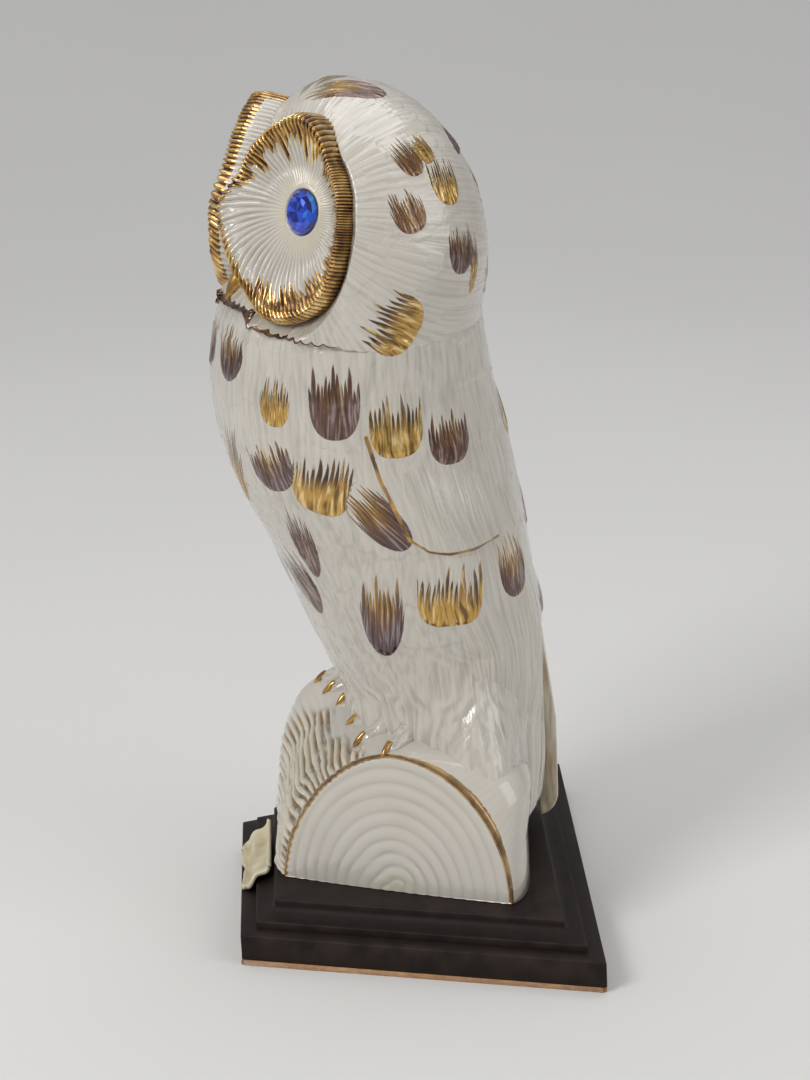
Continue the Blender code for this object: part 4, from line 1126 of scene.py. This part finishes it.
def make_disc(name, side, finish, node):
    """A dish round the eye: a pocket for the stone, a bowl and a rope-like rim, fluted all the way. The
    flutes run straight out, bend round below the eye, and deepen towards the rim, where finer ribs cross
    it; the wall goes back into the head and is gilt on the side away from the beak."""
    columns = 640
    angle = (np.arange(columns) * 2 * np.pi / columns)[None, :]
    eye, outward, sideways, upward = disc_frame(side)
    edge = disc_reach(angle)
    pocket = EYE_DIAMETER / 2 + GAP
    boss = pocket + DISC_BOSS
    rise = DISC_RIM - DISC_FLOOR
    profile = np.array([
        (0, DISC_SEAT - DISC_BOSS / 3),
        (0.3, DISC_FLOOR + 0.2 * rise),
        (0.55, DISC_FLOOR + 0.45 * rise),
        (0.76, DISC_FLOOR + 0.75 * rise),
        (0.88, DISC_RIM),
        (0.96, DISC_FLOOR + 0.85 * rise),
        (1.0, DISC_FLOOR + 0.35 * rise),
    ])
    rim = 0.8 + 0.2 * np.sin(np.linspace(0, np.pi / 2, 26))[1:]
    out = np.concatenate([np.linspace(0, 0.8, 62), rim])[:, None]
    level = through(profile, out)[..., 0]
    below = np.exp(-(np.mod(angle + np.pi * 1.6, 2 * np.pi) - np.pi) ** 2 / 1.3)
    phase = FLUTES * (angle - 0.42 * below * out ** 2) + 0.8 * np.sin(3 * angle) + 1.1 * np.sin(7 * angle + 1)
    ribs = 1.5 * phase + 1.6 * np.sin(5 * angle + 2) + 3 * out
    flute = np.abs(np.cos(phase / 2)) ** 1.1 * 2 - 1.1
    rib = np.abs(np.cos(ribs / 2)) * 2 - 1.2
    rope = smooth(0.66, 0.86, out)
    flute = flute * (1 - rope) + rib * rope
    uneven = 0.45 + 1.0 * drift(phase / (2 * np.pi) * 2, out * 4, 41, FLUTES * 2)
    deep = (0.08 + 0.5 * smooth(0.05, 0.7, out) + 0.2 * rope) * MM * uneven
    reach = boss + (edge - boss) * out
    reach = reach + flute * uneven * 0.35 * MM * smooth(0.8, 1, out)
    level = level + flute * deep * (1 - 0.5 * smooth(0.93, 1, out))

    def ring(radius, height):
        narrow = 1 - (1 - EYE_NARROWING) * np.clip((boss * 1.6 - np.asarray(radius)) / (boss * 0.6), 0, 1)
        flat = np.cos(angle)[..., None] * sideways, np.sin(angle)[..., None] * upward
        radius, height = (np.asarray(v, float) + 0 * angle for v in (radius, height))
        flat = flat[0] * (radius * narrow)[..., None] + flat[1] * radius[..., None]
        return eye - outward * DISC_SEAT + flat + outward * height[..., None]

    wall = ring(reach[-1:], 0)[0]
    depth = np.zeros(columns)
    for _ in range(24):
        depth = np.where(inside_head(wall - depth[:, None] * outward), depth, depth + 1 * MM)
    depth = np.minimum(depth + 1 * MM, 0.3 * edge[0])
    floor = DISC_SEAT - STONE_PAVILION - GAP
    shape = np.concatenate([
        collapsed(wall, eye - outward * (DISC_SEAT - floor)),
        ring(pocket, floor),
        ring(pocket, DISC_SEAT),
        ring(pocket + 0.5 * DISC_BOSS, DISC_SEAT + 0.2 * MM),
        ring(reach, level),
        ring(reach[-1:], 0.5 * level[-1:]),
        ring(reach[-1:], -0.5 * depth),
        ring(reach[-1:] * 0.98, -depth),
        collapsed(wall, eye - outward * (DISC_SEAT + 4 * MM)),
    ])
    start = np.interp(angle / (2 * np.pi) * 8, np.arange(9), GOLD_START + GOLD_START[:1])
    ragged = 0.34 * (scatter(np.floor(phase / (2 * np.pi)).astype(np.int64), np.array([[3]]), 43) - 0.5)
    gilt = (out - start - ragged * smooth(0.95, 0.6, start) + 0.08 * flute) * (edge - boss) / MM
    gilt_wall = 9 * (np.cos(angle) + 0.2) + 2 * ragged[-1:]

    def padded(values, wall_values):
        return np.concatenate([np.repeat(values[:1], 4, 0), values, np.repeat(wall_values, 4, 0)])

    make_piece(name, [(placed(shape, OWL_TURN), True)], finish, "gilt_porcelain", [node],
               gilt=[padded(gilt, gilt_wall)], groove=[padded(flute + 0 * out, flute[-1:])],
               bowl=[padded(out + 0 * angle, 1 + 0 * angle)])


def make_stone(name, side, finish, node):
    """A round cut stone: a table, rings of facets turned half a step from each other, a girdle and a
    pavilion."""
    sides = 12
    eye, outward, sideways, upward = disc_frame(side)
    radius = EYE_DIAMETER / 2
    rings = np.array([
        (0.0, 1.0, 0), (0.48, 1.0, 0), (0.68, 0.86, 0.5), (0.86, 0.52, 0),
        (1.0, STONE_GIRDLE / STONE_CROWN, 0.5), (1.0, 0.0, 0.5),
        (0.6, -0.6 * STONE_PAVILION / STONE_CROWN, 0), (0.0, -STONE_PAVILION / STONE_CROWN, 0),
    ])
    reach, height, step = (rings[:, k, None] for k in range(3))
    angle = (np.arange(sides)[None, :] + step) * 2 * np.pi / sides
    flat = EYE_NARROWING * np.cos(angle)[..., None] * sideways + np.sin(angle)[..., None] * upward
    shape = eye + flat * (reach * radius)[..., None] + outward * (height * STONE_CROWN)[..., None]
    stone = make_piece(name, [(placed(shape, OWL_TURN), True)], finish, "blue_crystal", [node],
                       sharp=math.radians(1))
    count = len(stone.data.polygons)
    facet = stone.data.attributes.new("facet", "FLOAT", "FACE")
    number = np.arange(count)
    facet.data.foreach_set("value", scatter(number, 0 * number, 51).astype(np.float32))


def make_beak(finish):
    """A hooked beak on the head's front ridge: rounded levels with a keel, narrowing to a point."""
    level = np.linspace(0, 1, 40)[:, None]
    angle = (np.arange(40) * 2 * np.pi / 40)[None, :]
    height = EYE_HEIGHT - BEAK_DROP + BEAK_LENGTH * (0.5 - level)
    ridge = head_point(np.array([[-np.pi / 2]]), np.maximum(height, 0))[..., 1]
    stand = BEAK_REACH * np.sin(np.pi * (0.12 + 0.78 * level)) * (1 - 0.25 * level)
    wide = BEAK_WIDTH / 2 * np.sin(np.pi * (0.2 + 0.72 * level))
    keel = np.abs(np.sin(angle)) ** 1.3 * np.sign(np.sin(angle))
    x = wide * np.cos(angle)
    y = ridge - 0.5 * MM + stand * keel
    shape = np.stack(np.broadcast_arrays(x, y, NECK_RISE + height), -1)
    shape = capped(shape, shape[0].mean(0), shape[-1].mean(0))
    make_piece("beak_hook", [(placed(shape, OWL_TURN), True)], finish, "gold_lustre", ["beak"])


def make_wing(name, side, feathers, covert, finish, node):
    """A folded wing: its face swells off the torso, its coverts end in a step along the gold line, and
    long flight feathers lie side by side below, each with its own shaft and barbs."""
    rows, columns = 212, 220
    across = np.linspace(0, 1, columns)[None, :]
    down = np.linspace(0, 1, rows)[:, None]
    angle, height = wing_outline(across, down)
    points = torso_point(angle, height, wing_lift(across, down), WING_HANG)
    outward = normals(points, False)
    bearing = np.arctan2(covert[:, 1], covert[:, 0])
    order = np.argsort(bearing)
    here = np.arctan2(points[..., 1], points[..., 0])
    edge = np.interp(here, bearing[order], covert[order, 2], left=1.0, right=1.0)
    above = smooth(-0.4 * MM, 0.6 * MM, points[..., 2] - edge)
    step = above * (1 - smooth(4 * MM, 30 * MM, points[..., 2] - edge)) * smooth(0, 0.1, across)
    blade = across * 7 + 1.2 * down
    vane = np.mod(blade, 1) - 0.35
    barb = combed(across * 40 + 5 * down, down * 8, 61 + (side < 0))
    groove = barb - 0.4 * (1 - above) * np.exp(-(vane / 0.06) ** 2)
    flip = np.array([side, 1, 1])
    mark, tone, seed, relief = paint(points * flip, outward * flip, feathers)
    quiet = 1 - 0.8 * (1 - smooth(0.8, 1.1, mark[..., 2]))
    margin = smooth(0, 0.05, across) * smooth(0, 0.05, 1 - across)
    margin = margin * smooth(0, 0.04, down) * smooth(0, 0.03, 1 - down)
    relief = (relief + (0.2 * groove * quiet + 0.9 * step - 0.25 * (1 - above) * np.abs(vane)) * MM) * margin
    outer = points + outward * relief[..., None]
    inner = torso_point(angle, height, -1.5 * MM, WING_HANG)
    line = distance_to_line(points, covert) / MM
    sway = 5 * (drift(across * 6, down * 5, 67) - 0.5)
    comb = np.stack([across * 82 + 9 * down + sway, 40 + 0 * across + 0 * down, down * 125 + 0 * across], -1)
    shape = closed_plate(outer, inner) * flip
    make_piece(name, [(placed(shape, OWL_TURN), True)], finish, "white_porcelain", [node],
               mark=[both_faces(mark)], tone=[both_faces(tone)], seed=[both_faces(seed)],
               comb=[both_faces(comb)], groove=[both_faces(groove * quiet)], line=[both_faces(line)])


def make_tail(finish):
    """Long tail feathers side by side, hanging down behind the log, each rounded across and at its tip,
    with a shaft and fine barbs."""
    rows, columns = 200, 150
    across = np.linspace(-1, 1, columns)[None, :]
    down = np.linspace(0, 1, rows)[:, None]
    angle = np.pi / 2 + TAIL_HALF_ANGLE * across * (1 - 0.15 * down)
    blade = 2 * np.mod((across + 1) * 2.4999, 1) - 1
    tip = TAIL_TIP + TAIL_TIP_ROUND * across ** 2 + 4 * MM * blade ** 4 + 0 * down
    height = TAIL_TOP + (tip - TAIL_TOP) * down
    rounded = np.sqrt(np.clip(1 - (np.maximum(down - 0.9, 0) / 0.1) ** 2, 0.02, 1))
    thickness = (TAIL_THICKNESS + 1.5 * MM) * np.minimum(1, 0.05 + 1.6 * down) * rounded
    vault = np.sqrt(np.clip(1 - blade ** 2, 0, 1)) - 0.7
    barb = combed(across * 24 + 0 * down, down * 6 + 0 * across, 71)
    groove = barb + 1.2 * vault
    margin = smooth(0, 0.05, down) * smooth(0, 0.03, 1 - down)
    let_in = -2.5 * MM
    swelling = (0.25 * barb + 1.0 * vault) * margin * MM
    outer = torso_point(angle, height, let_in + thickness + swelling, TAIL_HANG)
    inner = torso_point(angle, height, let_in + 0 * thickness, TAIL_HANG)
    make_piece("tail_feathers", [(placed(closed_plate(outer, inner), OWL_TURN), True)], finish,
               "white_porcelain", ["tail"], groove=[both_faces(groove)])


# Claws of the owl's left and right foot in the photograph
LEFT_CLAWS = [(352, 722), (359, 742), (386, 752)]
RIGHT_CLAWS = [(320, 680), (329, 690), (342, 701)]


def limb(path, radius, sides):
    """A tube of rings round a path, upright to it, closed at both ends."""
    along = unit(np.gradient(path, axis=0))
    side = unit(np.cross(along, np.array([0, 0, 1.0])))
    up = np.cross(side, along)
    angle = (np.arange(sides) * 2 * np.pi / sides)[None, :, None]
    ring = np.cos(angle) * side[:, None] + np.sin(angle) * up[:, None]
    rings = path[:, None] + radius[:, None, None] * ring
    return capped(rings, path[0], path[-1])


def make_foot(name, side, claws, tree, finish, node):
    """Low feathered toes that come out from under the hem and end in small curved claws, each where its
    pixel's sight line meets the log."""
    grids, gilt, groove = [], [], []
    t = np.linspace(0, 1, 34)
    s = np.linspace(0, 1, 22)
    turn = np.arange(36)
    heel = np.array([side * 22 * MM, 8 * MM])

    def laid(flat, above):
        """A path over the log at a height above it, through the claw's place."""
        drop = (flat - place[:2]) @ normal[:2] / -max(normal[2], 0.4)
        return np.stack([flat[:, 0], flat[:, 1], place[2] + drop + above], -1)

    for number, pixel in enumerate(claws):
        place, normal = on_body(tree, pixel)
        place = unplaced(place, OWL_TURN)
        normal = np.array([*turned(normal[0], normal[1], -OWL_TURN), normal[2]])
        step = unit(place[:2] - heel)
        radius = (4.2 - 1.2 * t) * MM * np.sqrt(np.clip(1 - (1 - np.minimum(1, 3 * (1 - t))) ** 2, 0.04, 1))
        toe = limb(laid(place[:2] - step * ((1 - t) * 12 * MM)[:, None], -0.45 * radius), radius, 36)
        comb = combed(turn[None, :] / 3 + 0 * toe[..., 0], turn[:, None] / 7.0, 81 + number, 12)
        ends_still = (turn % 35 > 0)[:, None, None]
        toe = toe + normals(toe, True) * (0.2 * comb * MM)[..., None] * ends_still
        lift = (1.5 - 2.0 * s ** 2) * MM
        claw = limb(laid(place[:2] + step * ((s - 0.5) * 5 * MM)[:, None], lift),
                    1.25 * MM * np.sqrt(np.clip(1 - s ** 2, 0.003, 1)), 18)
        grids += [(placed(toe, OWL_TURN), True), (placed(claw, OWL_TURN), True)]
        gilt += [0 * toe[..., 0], 1 + 0 * claw[..., 0]]
        groove += [comb, 0 * claw[..., 0]]
    make_piece(name, grids, finish, "gilt_porcelain", [node], gilt=gilt, groove=groove)


# The smooth swelling on the log's far front, in the log's frame: place, reach and height
KNOT = (-33 * MM, -31 * MM, 16 * MM, 10 * MM)


def make_log(finish):
    """A half log: bark ridges run along its arch, deep in front, and its top and back are smooth and
    wavy. Each sawn end is slightly domed with rings round its heart."""
    rows, columns, steps = 200, 110, 90
    angle = np.linspace(0, np.pi, rows)[:, None]
    along = np.linspace(-1, 1, columns)[None, :]
    plain = log_arch(angle, along)
    outward = normals(plain, False)
    outward[[0, -1], :, 2] = 0
    limit = angle + 0.25 * drift(along * 4, angle, 89) - 0.22 * along
    front = 1 - smooth(1.0, 1.25, limit)
    run = plain[..., 0]
    lines = angle * 15 + 1.6 * drift(run / (16 * MM), angle * 3, 91)
    ridge = np.abs(np.sin(np.pi * lines)) ** 0.8 * 2 - 1.1
    groove = ridge * (0.55 + 0.6 * drift(lines, run / (14 * MM), 93))
    groove = groove + 0.5 * combed(angle * 22, run / (14 * MM), 95)
    wavy = drift(angle * 5 + 0 * along, run / (24 * MM), 97) - 0.5
    knot = knot_share(plain)
    ends = 1 - 0.8 * smooth(0.86, 1, np.abs(along))
    relief = ((0.03 + 1.8 * front) * (1 - 0.85 * knot) * groove + 1.6 * wavy * (1 - front)) * ends * MM
    arch = plain + outward * (relief + KNOT[3] * knot)[..., None]
    half = log_half_length(arch[..., 1])
    grids = [(placed(arch, LOG_TURN), False)]
    fields = {
        "groove": [groove * (0.1 + 0.9 * front)],
        "edge": [(1 - np.abs(along)) * half / MM],
        "front": [front * (1 - knot)],
        "heart": [0 * run + 1],
    }
    slope = (LOG_BACK - LOG_FRONT) / 2 / LOG_DEPTH
    middle = np.stack(np.broadcast_arrays(along[0] * log_half_length(LOG_CENTRE), LOG_CENTRE, 0.0), -1)
    inward = np.linspace(1, 0, steps)[:, None]
    turn = np.linspace(0, np.pi, rows)[None, :]
    caps = []
    for end, way in ((0, -1), (-1, 1)):
        rim = plain[:, end]
        cap = middle[end] + (rim - middle[end]) * inward[..., None]
        cap = cap + (arch[:, end] - rim) * smooth(0.93, 1, inward)[..., None]
        phase = inward * RING_COUNT + 0.9 * drift(turn * 1.3, inward * 2.5, 101)
        ring = np.abs(np.cos(np.pi * phase)) ** 0.7
        strength = 0.35 + 0.7 * drift(turn * 1.6, phase, 107)
        edging = smooth(0, 0.04, 1 - inward) * smooth(0, 0.1, inward)
        bulge = 0.55 * strength * (ring - 0.6) * edging + 1.2 * (1 - inward ** 2)
        cap = cap + unit(np.array([way, -slope, 0])) * (bulge * MM)[..., None]
        caps.append(cap)
        reach = np.linalg.norm(rim - middle[end], axis=-1)[None, :] * (1 - inward) / MM
        tint = {"groove": (ring - 0.5) * strength, "edge": reach, "front": 0 * reach,
                "heart": inward + 0 * reach}
        grids.append((placed(cap[:, ::way], LOG_TURN), False))
        for word, value in tint.items():
            fields[word].append(value[:, ::way])
    share = np.concatenate([1 - inward, 1 + inward[-2::-1]])[..., None]
    near, far = arch[0][None], arch[-1][None]
    base = np.where(share < 1, near + (middle - near) * share, middle + (far - middle) * (share - 1))
    for cap, end in zip(caps, (0, -1)):
        base[:, end] = np.concatenate([cap[:, 0], cap[-2::-1, -1]])
    grids.append((placed(base[::-1], LOG_TURN), False))
    for word, value in (("groove", 0), ("edge", 9), ("front", 0), ("heart", 1)):
        fields[word].append(np.full(base.shape[:2], float(value)))
    make_piece("log_bark", grids, finish, "white_porcelain", ["log"], **fields)


def plinth_loop(inset, level, radius):
    """The plinth's outline drawn in by an inset, with rounded corners, as one loop of points."""
    slant = (PLINTH_BACK - PLINTH_FRONT) / 2 / PLINTH_DEPTH
    lean = math.atan(slant)
    inset = inset + radius
    front, back = -PLINTH_DEPTH / 2 + inset, PLINTH_DEPTH / 2 - inset
    draw_in = inset * math.hypot(1, slant)
    half_front = PLINTH_FRONT / 2 + inset * slant - draw_in
    half_back = PLINTH_BACK / 2 - inset * slant - draw_in
    facing = np.array([math.pi + lean, 1.5 * math.pi, 2 * math.pi - lean, 2.5 * math.pi, 3 * math.pi + lean])
    corners = [(-half_front, front), (half_front, front), (half_back, back), (-half_back, back)]
    sweep = np.linspace(0, 1, 7)
    points = []
    for number, (x, y) in enumerate(corners):
        angle = facing[number] + (facing[number + 1] - facing[number]) * sweep
        points.append(np.stack([x + radius * np.cos(angle), y + radius * np.sin(angle)], 1))
    loop = np.concatenate(points)
    following = np.roll(loop, -1, 0)
    share = np.linspace(0, 1, 6, endpoint=False)[None, :, None]
    loop = (loop[:, None] * (1 - share) + following[:, None] * share).reshape(-1, 2)
    return np.concatenate([loop, np.full((len(loop), 1), level)], 1)


def make_plinth(finish):
    """The stepped moulding carried round the plinth's outline: a foot, a ledge, a riser, a cove and a
    rounded lip, every arris eased. The wear field is high on the arrises."""
    curve = np.linspace(0, np.pi / 2, 14)
    ease = np.linspace(0, np.pi / 2, 5)
    lines = [(0.3 * MM, PLINTH_BOTTOM, 0), (0, PLINTH_BOTTOM + ARRIS, 0.5)]
    lines += [(ARRIS * (1 - math.cos(a)), LEDGE_LEVEL - ARRIS * (1 - math.sin(a)), 1.0) for a in ease]
    lines += [(LEDGE - ARRIS, LEDGE_LEVEL, 0), (LEDGE, LEDGE_LEVEL + 0.3 * MM, 0)]
    soft = 0.6 * ARRIS
    lines += [(LEDGE + soft * (1 - math.cos(a)), COVE_LEVEL - soft * (1 - math.sin(a)), 1.0) for a in ease]
    start = 0.3 * MM
    lines += [(LEDGE + start + (COVE_WIDTH - start) * math.sin(a),
               COVE_LEVEL + COVE_HEIGHT * (1 - math.cos(a)), 0) for a in curve[1:]]
    lip = LEDGE + COVE_WIDTH
    lines += [(lip + LIP_ROUND * (1 - math.cos(a)),
               PLINTH_TOP - LIP_ROUND * (1 - math.sin(a)), 0.8) for a in ease]
    loops = np.array([plinth_loop(inset, level, ARRIS) for inset, level, _ in lines])
    wear = np.repeat(np.array([line[2] for line in lines])[:, None], loops.shape[1], 1)
    shape = capped(loops, (0, 0, PLINTH_BOTTOM), (0, 0, PLINTH_TOP))
    make_piece("plinth_moulding", [(shape, True)], finish, "dark_stained_wood", ["plinth"],
               sharp=math.radians(50), wear=[np.concatenate([0 * wear[:1], wear, 0 * wear[-1:]])])


def make_felt(finish):
    """The felt under the plinth, cut by hand: its edge wanders in and out past the plinth's side."""
    levels = np.array([0.0, 0.25, 0.75, 1.0]) * PLINTH_BOTTOM
    loops = np.array([plinth_loop(0.2 * MM, level, 1.5 * MM) for level in levels])
    place = np.arange(loops.shape[1])
    wander = (drift(place / 3.0, 0 * place, 111, loops.shape[1] // 3) - 0.35) * 1.5 * MM
    way = unit(loops[0] - loops[0].mean(0))
    swell = np.array([0.7, 1.0, 1.0, 0.75])[:, None, None]
    loops = loops + way * wander[:, None] * swell
    shape = capped(loops, (0, 0, 0), (0, 0, PLINTH_BOTTOM))
    make_piece("felt_sheet", [(shape, True)], finish, "tan_felt", ["felt_pad"])


def make_plaque(finish):
    """A thin bent leaf on the front moulding, with torn ends, lifted corners and a raised margin. It is
    bare."""
    front = -PLINTH_DEPTH / 2
    lift = GAP + PLAQUE_THICKNESS / 2
    ledge_end = front + LEDGE
    bends = np.array([
        (0.0, front + PLAQUE_MARGIN, LEDGE_LEVEL + lift),
        (0.3, ledge_end - PLAQUE_MARGIN - PLAQUE_BEND, LEDGE_LEVEL + lift + PLAQUE_BEND / 4),
        (0.45, ledge_end - PLAQUE_MARGIN, COVE_LEVEL + lift),
        (0.75, ledge_end + COVE_WIDTH * 0.6, COVE_LEVEL + COVE_HEIGHT * 0.62 + lift),
        (1.0, ledge_end + COVE_WIDTH - PLAQUE_BEND, PLINTH_TOP - LIP_ROUND + lift),
    ])
    rows, columns = 60, 120
    up = np.linspace(0, 1, rows)[:, None]
    across = np.linspace(-1, 1, columns)[None, :]
    torn = 0.05 * np.sin(up * 5 + 0.6) + 0.02 * np.sin(up * 19) + 0.12 * (up - 0.5)
    x = PLAQUE_OFFSET + PLAQUE_LENGTH / 2 * across * (1 + torn)
    wave = 0.07 * np.sin(across * 5 + 0.5) + 0.03 * np.sin(across * 11 + 1)
    place = through(bends, np.clip(up + wave * (1 - up), 0, 1))
    curl = (0.9 * np.abs(across) ** 4 + 0.35 * np.sin(across * 7 + up * 2)) * MM
    rim = np.maximum(np.abs(across) + 0 * up, np.abs(2 * up - 1) + 0 * across)
    face = np.stack(np.broadcast_arrays(x, place[..., 0], place[..., 1] + curl), -1)
    outward = normals(face, False)
    outward = outward * np.sign(outward[..., 2:].mean())
    raised = 0.2 * MM * smooth(0.8, 0.93, rim) + 0.2 * MM * drift(across * 6, up * 4, 121)
    outer = face + outward * (PLAQUE_THICKNESS / 2 + raised)[..., None]
    inner = face - outward * PLAQUE_THICKNESS / 2
    make_piece("plaque_leaf", [(closed_plate(outer, inner), True)], finish, "parchment", ["plaque"],
               rim=[both_faces(rim)])


def make_figurine():
    """All pieces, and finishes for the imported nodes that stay."""
    tree = body_tree()
    feathers = painted_feathers(tree)
    covert, ruff = (unplaced(np.array([on_body(tree, pixel)[0] for pixel in line]), OWL_TURN)
                    for line in (COVERT_EDGE, RUFF_EDGE))
    plumage = feather_finish("combed_porcelain", False)
    disc, stone, gilt = disc_finish(), stone_finish(), foot_finish()
    make_torso(feathers, covert, plumage)
    make_head(feathers, ruff, feather_finish("banded_porcelain", True))
    make_beak(gold_finish())
    make_tail(tail_finish())
    make_log(bark_finish())
    stained = wood_finish("stained_plinth", (0.009, 0.0050, 0.0036), (0.015, 0.0084, 0.0062),
                          (0.042, 0.028, 0.022), 180.0, 0.5)
    make_plinth(stained)
    make_felt(felt_finish())
    make_plaque(parchment_finish())
    for word, side in (("left", 1), ("right", -1)):
        make_wing(f"{word}_wing_feathers", side, feathers, covert, plumage, f"{word}_wing")
        make_disc(f"{word}_disc_fluted", side, disc, f"{word}_facial_disc")
        make_stone(f"{word}_eye_cut", side, stone, f"{word}_eye_stone")
        claws = LEFT_CLAWS if side > 0 else RIGHT_CLAWS
        make_foot(f"{word}_toes", side, claws, log_tree(), gilt, f"{word}_foot")
    steel = steel_finish()
    sawn = wood_finish("sawn_block", (0.36, 0.235, 0.13), (0.54, 0.385, 0.23), (0.6, 0.45, 0.3), 120.0, 0.6)
    hardware = {"anchor_block": sawn}
    for number in (1, 2):
        hardware[f"base_screw_{number}"] = steel
        hardware[f"base_washer_{number}"] = steel
    for node, finish in hardware.items():
        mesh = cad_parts[node].data
        mesh.materials.clear()
        mesh.materials.append(finish)


# Studio


def make_floor():
    """A wide pale floor that curves up far behind into a backdrop."""
    reach = np.linspace(-3, 3, 41)
    x, y = np.meshgrid(reach, reach, indexing="ij")
    z = 0.35 * np.maximum(-x - 1.0, 0) ** 2
    mesh = bpy.data.meshes.new("studio_floor")
    points = np.stack([x, y, z], -1).reshape(-1, 3)
    mesh.from_pydata(points.tolist(), [], grid_faces(41, 41, False, 0).tolist())
    mesh.shade_smooth()
    finish = Finish("pale_floor", specular_ior_level=0.2)
    soft = finish.noise(finish.place(), 3.0)
    colour = finish.ramp(soft, (0.3, (0.70, 0.69, 0.67)), (0.7, (0.72, 0.71, 0.69)))
    finish.feed(base_color=colour, roughness=0.8 + soft * 0.1)
    mesh.materials.append(finish.material)
    floor = bpy.data.objects.new("studio_floor", mesh)
    bpy.context.scene.collection.objects.link(floor)


def make_lamp(name, place, target, size, power):
    """A square soft box aimed at a place."""
    lamp = bpy.data.lights.new(name, "AREA")
    lamp.size = size
    lamp.energy = power
    holder = bpy.data.objects.new(name, lamp)
    holder.location = place
    holder.rotation_euler = (Vector(target) - Vector(place)).to_track_quat("-Z", "Y").to_euler()
    bpy.context.scene.collection.objects.link(holder)


def make_studio():
    scene = bpy.context.scene
    make_floor()
    make_lamp("key", (1.0, -1.1, 1.3), (0, 0, 0.15), 0.7, 16)
    make_lamp("fill", (0.9, 1.3, 0.9), (0, 0, 0.15), 1.1, 6)
    make_lamp("top", (-0.3, 0.0, 1.6), (0, 0, 0.15), 1.2, 9)
    world = bpy.data.worlds.new("studio_air")
    world.use_nodes = True
    world.node_tree.nodes["Background"].inputs["Color"].default_value = (0.82, 0.83, 0.85, 1)
    world.node_tree.nodes["Background"].inputs["Strength"].default_value = 0.42
    scene.world = world
    camera = bpy.data.cameras.new("photograph_view")
    camera.sensor_fit = "VERTICAL"
    camera.sensor_height = 36
    camera.lens = 36 * FOCAL / PICTURE[1]
    holder = bpy.data.objects.new("photograph_view", camera)
    axes = np.stack([CAMERA_RIGHT, CAMERA_UP, CAMERA_BACK], 1)
    turn = Matrix(axes.tolist()).to_quaternion()
    holder.matrix_world = Matrix.LocRotScale(Vector(CAMERA_PLACE), turn, None)
    scene.collection.objects.link(holder)
    scene.camera = holder
    scene.view_settings.view_transform = "Standard"


make_figurine()
make_studio()
bpy.context.view_layer.update()
